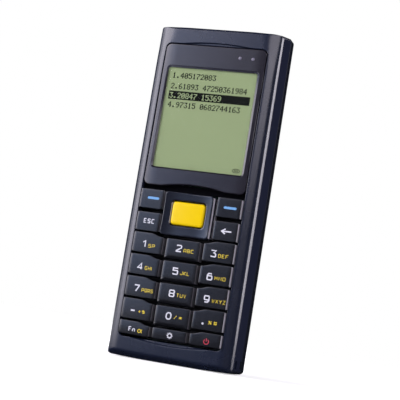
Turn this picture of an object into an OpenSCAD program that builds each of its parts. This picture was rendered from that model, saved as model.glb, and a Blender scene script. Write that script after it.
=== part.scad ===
// Portable barcode data terminal, standing on its end with its front to -Y.
// Every module draws in the terminal's own axes: X to the right, Y from the strap end
// to the scanner end, Z out of the front, with Z = 0 on the back face.
// upright() then stands the result on its end, with the origin under its middle.

/* [Casing] */
// Width of the casing
casing_w = 54; // [52:0.5:58]
// Length of the casing, end to end
casing_l = 141.2; // [140:0.2:146]
// Depth of the casing at its two ends
casing_h = 25.5; // [25:0.1:27]
// How far the front face rises halfway along
front_crown = 0.7; // [0:0.1:1.2]
// How far each end bows out beyond its corners
end_bow = 0.4; // [0.2:0.1:0.8]
// Height of the joint line between the two casing halves, above the back face
split_z = 8.2; // [7.6:0.1:8.6]
// Radius of the back edges
back_r = 3.7; // [3:0.1:5]
// How far the back of the scanner end leans out beyond its front edge
lean_out = 3.4; // [2.5:0.1:3.6]
// Wall thickness
wall = 1.8; // [1.5:0.1:2]

/* [Front opening] */
// Width of the opening that holds the display panel and the keys
opening_w = 45; // [44.6:0.1:45.4]
// Lowest edge of the opening, from the middle of the casing
opening_low = -62; // [-62.4:0.1:-61.6]
// Highest edge of the opening, from the middle of the casing
opening_high = 63.3; // [63:0.1:63.6]
// Corner radius of the opening
opening_r = 2.5; // [1.5:0.1:3]

/* [Display] */
// Width of the window in the display panel
window_w = 40.6; // [40:0.1:41]
// Lowest edge of the window
window_low = 9; // [8.5:0.1:9.5]
// Highest edge of the window
window_high = 53.4; // [53:0.1:54]

/* [Keys] */
// How far the key tops stand above the front face
key_rise = 1.2; // [0.8:0.1:1.5]
// Distance from one row of number keys to the next
row_pitch = 9.2; // [9.1:0.05:9.3]
// Depth of a number key, along the casing
key_d = 8.5; // [8:0.05:8.6]
// Extra step down of the middle keys' upper edges
middle_drop = 1.15; // [0.6:0.05:1.4]
// Width of the four-way pad's rim
pad_w = 20.5; // [19:0.1:21]
// How far the pad's skirt reaches beyond its rim on either side
pad_skirt = 0.7; // [0.4:0.1:0.8]
// Height of the four-way pad, along the casing
pad_l = 18; // [17:0.1:18.2]
// How far the rim of the four-way pad stands above the front face
pad_rise = 2.4; // [2:0.1:3]
// Width of the scan key
scan_key_w = 14; // [12:0.1:14.4]
// Height of the scan key, along the casing
scan_key_l = 9.6; // [8:0.1:10]

/* [Power] */
// Diameter of one battery cell
cell_d = 10.4; // [10.2:0.1:10.5]
// Length of one battery cell
cell_l = 44.4; // [44:0.1:44.6]

/* [Hidden] */
$fn = 48;
front_top = casing_h + front_crown;
roll_start = 10;
roll_end = 64;
roll_r = 5.64;
edge_h = 1.4;
low_roll_h = 3.2;
low_roll_l = 2.6;
foot_top = 17;
end_flat = 0.15;
corner_r = 2.2;
arc_steps = 6;
crown_steps = 16;
bow_steps = 12;
pad_rim_z = casing_h + front_crown + pad_rise;
stand_off = pad_rim_z / 2;
lean_top_z = 24;
lean_top_y = casing_l / 2 - 0.1;
end_high = casing_l / 2 + lean_out;
scan_lean = atan((end_high - lean_top_y) / (lean_top_z - split_z));

cavity_x = casing_w / 2 - wall;
cavity_low = -casing_l / 2 + wall;
cavity_high = end_high - 2.3;
cavity_top = 22;
lip_top = split_z + 1.2;
seal_top = split_z + 2.1;
ledge_top = 24.2;
ledge_half_w = 21.3;
bar_low = 0.2;
bar_high = 3;

board_low = 17;
board_top = 18.2;
board_x = 24.4;
board_y = 62.4;
mat_top = 19.2;
key_base = 22.4;
key_edge_w = 0.4;
key_edge_h = 0.8;
key_corner = 0.5;
column_gap_x = 9.15;
column_middle_x = 7;
key_outer_x = 21.6;
command_inner_x = 12;
first_row_y = -18.4;
last_key_d = 5.85;
middle_foot = 1;
bend_start = 14.5;
bend_w = 5;
pad_y = -9.5;
scan_key_y = -9.1;

slot_low = -68;
slot_high = -64.7;

screw_x = 18.5;
screw_high_y = 65.6;
screw_low_y = -64.9;
screw_r = 0.9;
screw_head_r = 1.9;

bay_half_w = 11.4;
bay_low = -58.6;
bay_high = -9;
bay_top = 12.8;
bay_wall = 1.2;
door_gap = 0.2;
door_half_w = 15.4;
door_low = -64.2;
door_high = -7.4;
door_t = 1.4;
hinge_y = -62.5;
hinge_z = 1.7;
hinge_r = 0.75;
cell_z = 7.2;
cell_x = 5.45;

engine_half_w = 13;
engine_low = 43.6;
engine_high = 62;
engine_z = 7.6;
mirror_x = 3;
mirror_y = 52.6;

casing_colour = [0.13, 0.14, 0.2];
rear_colour = [0.07, 0.07, 0.09];
panel_colour = [0.2, 0.21, 0.25];
key_colour = [0.12, 0.13, 0.17];

// Number keys: name, column from left to right, row from the top
NUMBER_KEYS = [
    ["key_1", -1, 0], ["key_2", 0, 0], ["key_3", 1, 0],
    ["key_4", -1, 1], ["key_5", 0, 1], ["key_6", 1, 1],
    ["key_7", -1, 2], ["key_8", 0, 2], ["key_9", 1, 2],
    ["key_minus", -1, 3], ["key_0", 0, 3], ["key_point", 1, 3],
    ["key_function", -1, 4], ["key_backlight", 0, 4], ["key_power", 1, 4]
];

// Keys beside the four-way pad: name, side, lower edge, upper edge
COMMAND_KEYS = [
    ["key_soft_left", -1, -8.15, -0.15], ["key_soft_right", 1, -8.15, -0.15],
    ["key_escape", -1, -17.65, -9.9], ["key_back", 1, -17.65, -9.9]
];

function crown_at(y) = front_crown * (1 - pow(2 * y / casing_l, 2));
function front_at(y) = casing_h + crown_at(y);

// Points on an arc, from angle a to angle b
function arc(x, y, r, a, b, n = arc_steps) =
    [for (i = [0:n]) [x + r * cos(a + (b - a) * i / n), y + r * sin(a + (b - a) * i / n)]];

// Right half of the casing's cross-section, from the back face to the front face
function half_section() = concat(
    arc(casing_w / 2 - back_r, back_r, back_r, -90, 0),
    [[casing_w / 2, front_top - front_crown - edge_h - roll_drop()]],
    arc(opening_w / 2 - roll_r * sin(roll_start), front_top - roll_r * cos(roll_start),
        roll_r, 90 - roll_end, 90 - roll_start)
);
function roll_drop() = roll_r * (cos(roll_start) - cos(roll_end)) - front_crown;
function flip_x(points) = [for (i = [len(points) - 1:-1:0]) [-points[i][0], points[i][1]]];

// Place along the leaning wall of the scanner end, at a height above the back face
function lean_y(z) = lean_top_y + (lean_top_z - z) * tan(scan_lean);

// Side view of the front half, along its length and out of its front
function front_profile() = concat(
    [[lean_y(0), 0], [lean_y(casing_h - 1.6), casing_h - 1.6]],
    [[lean_y(casing_h - 0.5) - 0.35, casing_h - 0.5]],
    [for (i = [0:crown_steps]) crown_point(1 - i / crown_steps)],
    [[-casing_l / 2 + low_roll_l - 0.4, casing_h - 0.3]],
    [[-casing_l / 2 + 0.25, casing_h - low_roll_h]],
    [[-casing_l / 2, foot_top], [-casing_l / 2, 0]]
);
function crown_point(t) =
    let (y = -casing_l / 2 + low_roll_l + t * (casing_l - low_roll_l - 1.1))
    [y, front_at(y)];

// Side view of the rear half
function rear_profile() = concat(
    arc(end_high - back_r, back_r, back_r, -90, 0),
    [[end_high, casing_h], [-casing_l / 2, casing_h]],
    arc(-casing_l / 2 + back_r, back_r, back_r, 180, 270)
);

// Plan of one end of the casing, seen from its front, measured from the end
function bow(x) = end_flat - (end_bow + end_flat) * pow(2 * x / casing_w, 2);
function end_outline() =
    let (cx = casing_w / 2 - corner_r, cy = bow(casing_w / 2 - corner_r) - corner_r)
    concat(
        arc(cx, cy, corner_r, 0, 90),
        [for (i = [1:bow_steps - 1]) let (x = cx * (1 - 2 * i / bow_steps)) [x, bow(x)]],
        arc(-cx, cy, corner_r, 90, 180),
        [[-casing_w / 2, -casing_l * 1.3], [casing_w / 2, -casing_l * 1.3]]
    );

module upright() {
    translate([0, stand_off, casing_l / 2])
        rotate([90, 0, 0])
            children();
}

// A box between two corners
module block(low, high) {
    translate(low)
        cube(high - low);
}

// A box with its four upright edges rounded
module rounded_block(low, high, r) {
    translate([0, 0, low[2]])
        linear_extrude(high[2] - low[2])
            polygon(concat(
                arc(high[0] - r, high[1] - r, r, 0, 90),
                arc(low[0] + r, high[1] - r, r, 90, 180),
                arc(low[0] + r, low[1] + r, r, 180, 270),
                arc(high[0] - r, low[1] + r, r, 270, 360)
            ));
}

// A cylinder from z0 to z1
module post(x, y, z0, z1, r) {
    translate([x, y, z0])
        cylinder(h = z1 - z0, r = r);
}

// A prism along X of a side view
module along_x(half_w) {
    translate([-half_w, 0, 0])
        rotate([90, 0, 90])
            linear_extrude(2 * half_w)
                children();
}

// A cylinder along X
module bar(x0, x1, y, z, r) {
    translate([x0, y, z])
        rotate([0, 90, 0])
            cylinder(h = x1 - x0, r = r);
}

// A long prism whose one end is an end of the casing, leaning back from the height lean_top_z
module end_prism(y, lean) {
    half = 40;
    translate([0, y, lean_top_z])
        rotate([lean, 0, 0])
            translate([0, 0, -half])
                linear_extrude(2 * half)
                    polygon(end_outline());
}

// The outer form of one half, before it is cut at the joint line and hollowed
module casing_form(profile, end, lean) {
    intersection() {
        end_prism(end, lean);
        mirror([0, 1, 0])
            end_prism(casing_l / 2, 0);
        translate([0, end_high + 1, 0])
            rotate([90, 0, 0])
                linear_extrude(end_high + casing_l / 2 + 2)
                    polygon(concat(half_section(), flip_x(half_section())));
        along_x(casing_w / 2 + 1)
            polygon(profile);
    }
}

module screw_places() {
    for (x = [-screw_x, screw_x])
        for (y = [screw_low_y, screw_high_y])
            translate([x, y, 0])
                children();
}

// Shallow finger scoops above the display panel and below the keys
module finger_scoops() {
    scoop_r = 105;
    translate([0, opening_high + 1.2 - scoop_r, casing_h - 0.5])
        cylinder(h = 3, r = scoop_r, $fn = 240);
    difference() {
        translate([0, opening_low - 1.6 + scoop_r, casing_h - 0.45])
            cylinder(h = 3, r = scoop_r, $fn = 240);
        block([-casing_w, opening_low - 0.5, 0], [casing_w, casing_l, casing_h * 2]);
    }
}

// Two slots in the right wall for the strap, with a bar between them, and the hollow behind
module strap_anchor_cut() {
    block([23.4, slot_low, split_z], [25.6, slot_high, 18.1]);
    block([25, slot_low, 15.4], [casing_w, slot_high, 18.1]);
    block([25, slot_low, split_z], [casing_w, slot_high, 10.2]);
}

// Front half of the casing, with the long front opening
module front_casing() {
    color(casing_colour)
        difference() {
            union() {
                difference() {
                    casing_form(front_profile(), lean_top_y, scan_lean);
                    block([-casing_w, -casing_l, -1], [casing_w, casing_l, split_z]);
                    along_x(cavity_x)
                        polygon([[cavity_low, 0], [cavity_high, 0], [cavity_high, seal_top],
                            [lean_y(cavity_top) - wall - 0.1, cavity_top], [cavity_low, cavity_top]]);
                }
                screw_places()
                    post(0, 0, split_z + 0.6, cavity_top + 1, 2.4);
                block([cavity_x - 2.6, slot_low - 1.2, split_z], [cavity_x + 1, slot_high + 1.2, 19.6]);
                for (y = [-50, -25, 25, 50])
                    for (side = [-1, 1])
                        translate([side * 24.5, y, 0])
                            block([-0.9, -0.6, board_top], [0.9, 0.6, cavity_top + 0.5]);
            }
            rounded_block([-opening_w / 2, opening_low, ledge_top],
                [opening_w / 2, opening_high, casing_h + 5], opening_r);
            rounded_block([-opening_w / 2, opening_low, cavity_top - 4],
                [opening_w / 2, bar_low, ledge_top + 1], opening_r);
            block([-opening_w / 2, bar_low - 2 * opening_r, cavity_top - 4],
                [opening_w / 2, bar_low, ledge_top + 1]);
            rounded_block([-ledge_half_w, bar_high, cavity_top - 1],
                [ledge_half_w, opening_high - 1, ledge_top + 1], 1.5);
            finger_scoops();
            screw_places()
                post(0, 0, split_z, 15.5, screw_r);
            strap_anchor_cut();
            scan_aperture(0, -1, wall + 1);
            cradle_pads(0.05);
        }
}

// The window hole in the scanner end, between two depths below its leaning wall
module scan_aperture(gap, depth0, depth1) {
    middle_z = 13.4;
    half_w = 15 - gap;
    half_h = 3.8 - gap;
    translate([0, lean_y(middle_z), middle_z])
        rotate([90 + scan_lean, 0, 0])
            rounded_block([-half_w, -half_h, depth0], [half_w, half_h, depth1], 1);
}

// Rear half of the casing, with the battery bay and the hinge pocket of its door
module rear_casing() {
    lip = 0.8;
    color(rear_colour)
        difference() {
            union() {
                difference() {
                    intersection() {
                        casing_form(rear_profile(), end_high, 0);
                        block([-casing_w, -casing_l, -1], [casing_w, casing_l, split_z]);
                    }
                    inner_block(1.4, wall, 4.6);
                    inner_block(0.1, 4.6, split_z + 1);
                }
                difference() {
                    inner_block(0.15, 5, lip_top);
                    inner_block(lip, 0, split_z + 2);
                    strap_clearance(split_z, split_z + 2);
                }
                screw_places()
                    post(0, 0, 1, split_z + 0.6, 2.9);
                block([-17.5, -65.7, 1], [17.5, -5.4, 3.2]);
                block([-17.5, -65.7, 1], [17.5, -59.9, 5.9]);
                block([-bay_half_w - bay_wall, bay_low - bay_wall, 1],
                    [bay_half_w + bay_wall, bay_high + bay_wall, bay_top + bay_wall]);
                for (x = [-20.5, 20.5])
                    for (y = [-50, -12, 26, 52])
                        post(x, y, 1, board_low, 1.6);
            }
            block([-bay_half_w, bay_low, -1], [bay_half_w, bay_high, bay_top]);
            block([-door_half_w - door_gap, door_low - 0.3, -1],
                [door_half_w + door_gap, door_high + door_gap, door_t + 0.15]);
            bar(-door_half_w - door_gap, door_half_w + door_gap, hinge_y, hinge_z, 2.75);
            bar(-16.8, 16.8, hinge_y, hinge_z, hinge_r);
            block([-5.2, bay_high - 2, door_t], [5.2, bay_high + 1.2, 5.2]);
            block([-4.6, bay_high + 1, 2.2], [4.6, door_high + 1.6, 4.4]);
            latch_scoop();
            screw_places() {
                post(0, 0, -1, 4, screw_head_r + 0.2);
                post(0, 0, -1, split_z + 1, screw_r + 0.2);
            }
            joint_line_groove();
        }
}

// A block that stays a margin inside the cavity's four walls
module inner_block(margin, z0, z1) {
    block([-cavity_x + margin, cavity_low + margin, z0],
        [cavity_x - margin, cavity_high - margin, z1]);
}

// Space that the lip and the seal leave for the strap anchor
module strap_clearance(z0, z1) {
    block([cavity_x - 3.8, -casing_l, z0], [casing_w, -61, z1]);
}

// Thumb scoop beside the battery door's latch
module latch_scoop() {
    translate([0, door_high + 3.4, -15.4])
        sphere(r = 16.4, $fn = 96);
}

// A fine dark line all round, where the two halves meet
module joint_line_groove() {
    groove = 0.35;
    difference() {
        block([-casing_w, -casing_l, split_z - groove], [casing_w, casing_l, split_z]);
        block([-casing_w / 2 + groove, -casing_l / 2 + groove + end_bow, 0],
            [casing_w / 2 - groove, end_high - groove - end_bow, casing_h]);
    }
}

// Rubber cord that seals the joint line, inside the front half
module casing_seal() {
    color([0.05, 0.05, 0.05])
        difference() {
            inner_block(0, lip_top, seal_top);
            inner_block(seal_top - lip_top, split_z, split_z + 3);
            strap_clearance(split_z, split_z + 3);
        }
}

// Four screws that clamp the two halves
module casing_screws() {
    color([0.55, 0.55, 0.58])
        screw_places()
            difference() {
                union() {
                    post(0, 0, 2.4, 4, screw_head_r);
                    post(0, 0, 3.9, 15, screw_r);
                }
                post(0, 0, 2, 3.3, 0.8, $fn = 6);
            }
}

// Panel round the display, crowned with the front face
module display_panel() {
    color(panel_colour)
        difference() {
            intersection() {
                rounded_block([-22.1, 2, ledge_top], [22.1, 63, casing_h + 2], 2.3);
                translate([0, 0, 0.1])
                    along_x(23)
                        polygon(concat([[0, 0], [casing_l / 2, 0]],
                            [for (i = [0:8]) let (y = 64 * (1 - i / 8)) [y, front_at(y)]]));
            }
            rounded_block([-window_w / 2, window_low, 0], [window_w / 2, window_high, 40], 1.5);
            block([-21.1, 4.8, 0], [21.1, 57.4, 25.3]);
            translate([0, 3.25 - 65, 0])
                cylinder(h = 40, r = 65, $fn = 180);
            status_places()
                post(0, 0, 0, 40, 0.72);
            status_places()
                post(0, 0, 0, 25, 1.2);
        }
}

module status_places() {
    for (x = [10.9, 16.5])
        translate([x, 58.7, 0])
            children();
}

// Clear window over the display
module display_window() {
    color([0.8, 0.85, 0.9, 0.3])
        rounded_block([-window_w / 2 + 0.1, window_low + 0.1, 25.2],
            [window_w / 2 - 0.1, window_high - 0.1, 25.65], 1.4);
}

module lcd_glass() {
    color([0.6, 0.66, 0.5])
        block([-20.9, 5, 23.4], [20.9, 57.2, 25.2]);
}

module lcd_frame() {
    color([0.85, 0.85, 0.83])
        difference() {
            block([-21, 4, board_top], [21, 57.6, 23.4]);
            block([-19.8, 5.2, board_top + 1.2], [19.8, 56.4, 24]);
        }
}

module backlight_plate() {
    color([0.75, 0.85, 0.7])
        block([-19.7, 5.3, board_top + 1.2], [19.7, 56.3, 23.4]);
}

module lcd_flex() {
    color([0.7, 0.45, 0.15])
        union() {
            block([-8, 57.2, 23.8], [8, 58, 24]);
            block([-8, 57.8, board_top], [8, 58, 24]);
        }
}

// Two light pipes that show beside the display
module status_lenses() {
    color([0.6, 0.58, 0.68])
        status_places() {
            post(0, 0, 19.3, 24.9, 1.1);
            post(0, 0, 24.8, front_at(58.7) + 0.1, 0.7);
        }
}

module status_leds() {
    color([0.9, 0.9, 0.85])
        status_places()
            block([-1, -0.7, board_top], [1, 0.7, 19.2]);
}

module main_board() {
    color([0.05, 0.3, 0.15])
        block([-board_x, -board_y + 0.8, board_low], [board_x, board_y, board_top]);
}

module board_chips() {
    color([0.08, 0.08, 0.09])
        union() {
            block([-18, -2, board_low - 1.4], [-4, 12, board_low]);
            block([2, 0, board_low - 1.2], [10, 12, board_low]);
            block([-17, 16, board_low - 1], [-9, 22, board_low]);
            block([-4, 20, board_low - 1], [5, 28, board_low]);
            block([16, -24, board_low - 1.6], [20, -14, board_low]);
        }
}

module backup_cell() {
    color([0.7, 0.7, 0.72])
        post(14, 33, board_low - 2, board_low, 6.25);
}

module beeper() {
    color([0.1, 0.1, 0.1])
        difference() {
            post(-13, 34, board_low - 4, board_low, 6.5);
            post(-13, 34, board_low - 5, board_low - 3.2, 1);
        }
}

// Rubber sheet behind the keys, with a dome under each
module keypad_mat() {
    color([0.06, 0.06, 0.07])
        union() {
            block([-22, -61.5, board_top], [22, -0.3, mat_top]);
            for (k = NUMBER_KEYS)
                post(k[1] * 15.2, row_middle(k[2]), mat_top - 0.1, key_base, 2.6);
            for (k = COMMAND_KEYS)
                post(k[1] * 16.8, (k[2] + k[3]) / 2, mat_top - 0.1, key_base, 2.6);
            post(0, scan_key_y, mat_top - 0.1, key_base, 2.6);
            for (a = [0:90:270])
                translate([0, pad_y, 0])
                    rotate([0, 0, a])
                        post(a % 180 == 0 ? 8.4 : 7.2, 0, mat_top - 0.1, mat_top + 0.8, 0.9);
        }
}

function row_high(row) = first_row_y - row_pitch * row;
function row_low(row) = row_high(row) - (row == 4 ? last_key_d : key_d);
function row_middle(row) = (row_high(row) + row_low(row)) / 2 - 0.4;

// Smooth step from 0 to 1, for the bend in an outer key's upper edge
function ease(t) = let (c = min(1, max(0, t))) c * c * (3 - 2 * c);

// Upper edge of a number key at a place across it
function upper_edge(x, high) = high - middle_drop * ease((bend_start - abs(x)) / bend_w);

// Upper edge of any key: only the number keys' edges bend
function cap_edge(x, high) = high > first_row_y + 0.1 ? high : upper_edge(x, high);

// A key cap: its outline, with the four edges of its top cut back.
// The foot is how far the cap's base reaches out below the lower edge y0.
module key_cap(x0, x1, y0, y1, foot = 0) {
    top = front_at((y0 + y1) / 2) + key_rise;
    e = key_edge_w;
    h = key_edge_h;
    c = key_corner;
    base_y = y0 - foot;
    left = x0 - e;
    right = x1 + e;
    steps = 10;
    intersection() {
        linear_extrude(top)
            polygon(concat(
                [[left, base_y + c], [left + c, base_y], [right - c, base_y], [right, base_y + c]],
                [[right, cap_edge(right, y1) - c]],
                [for (i = [steps:-1:0]) let (x = left + c + (right - left - 2 * c) * i / steps)
                    [x, cap_edge(x, y1)]],
                [[left, cap_edge(left, y1) - c]]));
        translate([0, 1, 0])
            rotate([90, 0, 0])
                linear_extrude(casing_l)
                    polygon([[left, key_base], [right, key_base], [right, top - h], [x1, top],
                        [x0, top], [left, top - h]]);
        along_x(casing_w)
            polygon([[base_y, key_base], [y1, key_base], [y1, top - 0.4], [y1 - 0.3, top],
                [y0 + 0.5 + foot * 0.3, top], [base_y, top - 0.6 - foot * 0.6]]);
    }
}

module number_key(k) {
    x0 = k[1] == 0 ? -column_middle_x : (k[1] > 0 ? column_gap_x : -key_outer_x);
    x1 = k[1] == 0 ? column_middle_x : (k[1] > 0 ? key_outer_x : -column_gap_x);
    foot = k[1] == 0 && k[2] < 4 ? middle_foot : 0;
    color(key_colour)
        union() {
            key_cap(x0, x1, row_low(k[2]), row_high(k[2]), foot);
            if (k[0] == "key_5")
                translate([0, row_high(1) - 4.3, front_at(row_middle(1)) + key_rise])
                    sphere(r = 0.35);
        }
}

module command_key(k) {
    x0 = k[1] > 0 ? command_inner_x : -key_outer_x;
    x1 = k[1] > 0 ? key_outer_x : -command_inner_x;
    color(key_colour)
        key_cap(x0, x1, k[2], k[3]);
}

// Yellow scan key in the middle of the four-way pad, with the stem that presses its dome
module key_scan() {
    top = front_at(scan_key_y) + 2.2;
    color([0.96, 0.85, 0.03])
        union() {
            intersection() {
                rounded_block([-scan_key_w / 2, scan_key_y - scan_key_l / 2, 24.4],
                    [scan_key_w / 2, scan_key_y + scan_key_l / 2, top], 1.2);
                translate([0, scan_key_y, top - 60])
                    sphere(r = 60, $fn = 200);
            }
            block([-3.6, scan_key_y - 2.6, key_base], [3.6, scan_key_y + 2.6, 24.6]);
        }
}

// Dished cap of the four-way pad
module nav_pad() {
    dish_r = 34;
    hole_gap = 0.5;
    color([0.08, 0.08, 0.1])
        difference() {
            union() {
                rounded_block([-pad_w / 2, pad_y - pad_l / 2, 23.1],
                    [pad_w / 2, pad_y + pad_l / 2, pad_rim_z], 1.6);
                rounded_block([-pad_w / 2 - pad_skirt, pad_y - pad_l / 2 + 0.3, 23.1],
                    [pad_w / 2 + pad_skirt, pad_y + pad_l / 2 - 0.3, front_top], 1.6);
            }
            translate([0, pad_y, pad_rim_z - 1.35 + dish_r])
                sphere(r = dish_r, $fn = 120);
            rounded_block([-scan_key_w / 2 - hole_gap, scan_key_y - scan_key_l / 2 - hole_gap, 20],
                [scan_key_w / 2 + hole_gap, scan_key_y + scan_key_l / 2 + hole_gap, 40], 1.6);
        }
}

// Plate under the pad that rocks up and down, and carries the ridge that the pad tips on
module nav_rocker() {
    color([0.2, 0.2, 0.22])
        difference() {
            union() {
                block([-9.6, pad_y - 8.3, 20.8], [9.6, pad_y + 8.3, 22.3]);
                for (y = [pad_y - 8.2, pad_y + 6.4])
                    translate([0, y, 22.3])
                        rotate([-90, 0, 0])
                            cylinder(h = 1.8, r = 0.7);
                for (a = [0:90:270])
                    translate([0, pad_y, 0])
                        rotate([0, 0, a])
                            post(a % 180 == 0 ? 8.4 : 7.2, 0, mat_top + 0.8, 21, 0.9);
            }
            block([-4.6, scan_key_y - 3.6, 19], [4.6, scan_key_y + 3.6, 24]);
        }
}

// Battery door with its hinge knuckle
module battery_door() {
    color(rear_colour)
        difference() {
            union() {
                block([-door_half_w, door_low, 0], [door_half_w, door_high, door_t]);
                bar(-door_half_w + 0.4, door_half_w - 0.4, hinge_y, hinge_z, 1.6);
            }
            bar(-door_half_w - 1, door_half_w + 1, hinge_y, hinge_z, hinge_r + 0.05);
            for (i = [0:4])
                block([-9, door_high - 9 + i * 1.6, -1], [9, door_high - 8.2 + i * 1.6, 0.35]);
        }
}

// Springy tongue that holds the battery door shut
module battery_door_latch() {
    color([0.12, 0.12, 0.14])
        union() {
            block([-4.2, bay_high - 1.2, door_t], [4.2, bay_high - 0.4, 3.8]);
            block([-4.2, bay_high - 1.2, 3], [4.2, door_high + 1, 3.8]);
        }
}

module battery_door_pin() {
    color([0.7, 0.7, 0.72])
        bar(-16.7, 16.7, hinge_y, hinge_z, hinge_r);
}

// One battery cell, with its raised positive end
module battery_cell(x, turned) {
    middle = (bay_low + bay_high) / 2;
    translate([x, middle, cell_z])
        rotate([turned ? 90 : -90, 0, 0])
            translate([0, 0, -cell_l / 2])
                union() {
                    cylinder(h = cell_l - 0.9, r = cell_d / 2);
                    cylinder(h = cell_l, r = 1.9);
                }
}

// Leaf contacts at the two ends of the battery bay
module battery_contacts() {
    leaf = 0.4;
    color([0.8, 0.7, 0.4])
        for (x = [-cell_x, cell_x]) {
            block([x - 3.6, bay_low, 3], [x + 3.6, bay_low + leaf, 11.5]);
            block([x - 1.6, bay_low, 6], [x + 1.6, bay_low + 2.55, 6.4]);
            block([x - 1.6, bay_low, 8], [x + 1.6, bay_low + 2.55, 8.4]);
            block([x - 3.6, bay_high - leaf, 4.6], [x + 3.6, bay_high, 11.5]);
            block([x - 1.6, bay_high - 2.55, 6], [x + 1.6, bay_high, 6.4]);
            block([x - 1.6, bay_high - 2.55, 8], [x + 1.6, bay_high, 8.4]);
        }
}

module battery_connector() {
    color([0.85, 0.83, 0.75])
        block([-4, -38, bay_top + bay_wall], [4, -32, board_low]);
}

module cradle_pads(gap) {
    for (i = [-1.5:1:1.5])
        block([i * 4 - 1 - gap, -casing_l / 2 - 1, 11 - gap], [i * 4 + 1 + gap, cavity_low + 1, 15 + gap]);
}

// Gold pads in the lower end for a charging cradle
module cradle_contacts() {
    color([0.85, 0.68, 0.3])
        difference() {
            cradle_pads(0);
            block([-20, -casing_l / 2 - 2, 0], [20, -casing_l / 2 + 0.3, 20]);
            block([-20, cavity_low + 0.4, 0], [20, cavity_low + 2, 20]);
        }
}

module vibration_motor() {
    color([0.7, 0.7, 0.72])
        union() {
            translate([17, 4, 14.5])
                rotate([-90, 0, 0])
                    cylinder(h = 10, r = 2.1);
            translate([17, 13.9, 14.5])
                rotate([-90, 0, 0])
                    cylinder(h = 4.6, r = 0.4);
            block([15.4, 5, 15.5], [18.6, 13, board_low]);
        }
}

// Off-centre weight on the vibration motor's shaft
module vibration_weight() {
    color([0.5, 0.5, 0.5])
        translate([17, 14.8, 14.5])
            rotate([-90, 0, 0])
                difference() {
                    intersection() {
                        cylinder(h = 3.6, r = 2.2);
                        block([-3, -0.8, -1], [3, 3, 5]);
                    }
                    translate([0, 0, -1])
                        cylinder(h = 6, r = 0.43);
                }
}

// Tinted window in the scanner end
module scan_window() {
    color([0.3, 0.02, 0.04, 0.7])
        scan_aperture(0.05, 0.4, 1.6);
}

// Open tray of the scan engine, fixed to the back of the main board
module scan_chassis() {
    t = 1;
    w = engine_half_w;
    color([0.5, 0.5, 0.52])
        difference() {
            union() {
                difference() {
                    block([-w, engine_low, engine_z], [w, engine_high, board_low]);
                    block([-w + t, engine_low + t, engine_z - 1], [w - t, engine_high + 1, board_low - t]);
                }
                block([mirror_x - 3, mirror_y - 3, engine_z], [mirror_x + 3, mirror_y + 3, engine_z + 0.8]);
                block([mirror_x + 2.9, mirror_y - 1, engine_z], [w - t + 0.1, mirror_y + 1, engine_z + 0.8]);
                block([7.4, 46.8, 14.6], [9, 48.4, board_low - t + 0.1]);
            }
            post(mirror_x, mirror_y, engine_z - 1, board_low + 1, 0.6);
        }
}

// Laser tube that points at the mirror
module laser_module() {
    color([0.75, 0.65, 0.35])
        bar(-engine_half_w + 1, -4.4, 52.6, 12, 2.4);
}

// Small mirror that swings to sweep the beam, with the magnet on its back
module scan_mirror() {
    color([0.9, 0.9, 0.95])
        translate([mirror_x, mirror_y, 0])
            difference() {
                union() {
                    post(0, 0, 8.6, 15.8, 1.3);
                    rotate([0, 0, 45]) {
                        block([-4.5, 0.6, 9], [4.5, 1.5, 15.4]);
                        block([-1, -3.2, 11], [1, 0.8, 13]);
                    }
                }
                post(0, 0, 0, 20, 0.64);
            }
}

module mirror_pin() {
    color([0.7, 0.7, 0.72])
        post(mirror_x, mirror_y, engine_z, board_low, 0.6);
}

// Drive coil behind the mirror's magnet
module mirror_coil() {
    color([0.7, 0.4, 0.2])
        translate([8.2, 47.6, 12])
            rotate([0, 0, 45])
                rotate([90, 0, 0])
                    difference() {
                        translate([0, 0, -1])
                            cylinder(h = 2, r = 2.6);
                        translate([0, 0, -2])
                            cylinder(h = 4, r = 1.4);
                    }
}

module collector_lens() {
    color([0.7, 0.8, 0.9, 0.5])
        intersection() {
            block([6, 58, 8], [12, 61, 16]);
            translate([9, 57.6 - 4, 12])
                sphere(r = 6.6, $fn = 96);
        }
}

module light_sensor() {
    color([0.1, 0.1, 0.12])
        block([7, 54.4, 9.5], [12, 55.6, 16]);
}

upright() front_casing();
upright() rear_casing();
upright() casing_seal();
upright() casing_screws();
upright() display_panel();
upright() display_window();
upright() lcd_glass();
upright() lcd_frame();
upright() backlight_plate();
upright() lcd_flex();
upright() status_lenses();
upright() status_leds();
upright() main_board();
upright() board_chips();
upright() backup_cell();
upright() beeper();
upright() keypad_mat();
upright() nav_rocker();
upright() nav_pad();
upright() key_scan();
for (k = COMMAND_KEYS)
    upright() command_key(k);
for (k = NUMBER_KEYS)
    upright() number_key(k);
upright() battery_door();
upright() battery_door_latch();
upright() battery_door_pin();
upright() color([0.15, 0.3, 0.5]) battery_cell(-cell_x, false);  // battery_left
upright() color([0.15, 0.3, 0.5]) battery_cell(cell_x, true);  // battery_right
upright() battery_contacts();
upright() battery_connector();
upright() cradle_contacts();
upright() vibration_motor();
upright() vibration_weight();
upright() scan_window();
upright() scan_chassis();
upright() laser_module();
upright() scan_mirror();
upright() mirror_pin();
upright() mirror_coil();
upright() collector_lens();
upright() light_sensor();
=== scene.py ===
"""Looks of a portable barcode data terminal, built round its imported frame.

Sizes in this script are in the terminal's own millimetres: X to the right, Y along the
casing from its middle to the scanner end, Z out of the front, with Z = 0 on the back face.
place() turns such a point into the frame's metres, where the terminal stands on its lower
end with its front to -Y.
"""
import math

import bmesh
import bpy
from bpy.props import FloatProperty, FloatVectorProperty, PointerProperty
from mathutils import Matrix, Vector


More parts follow.
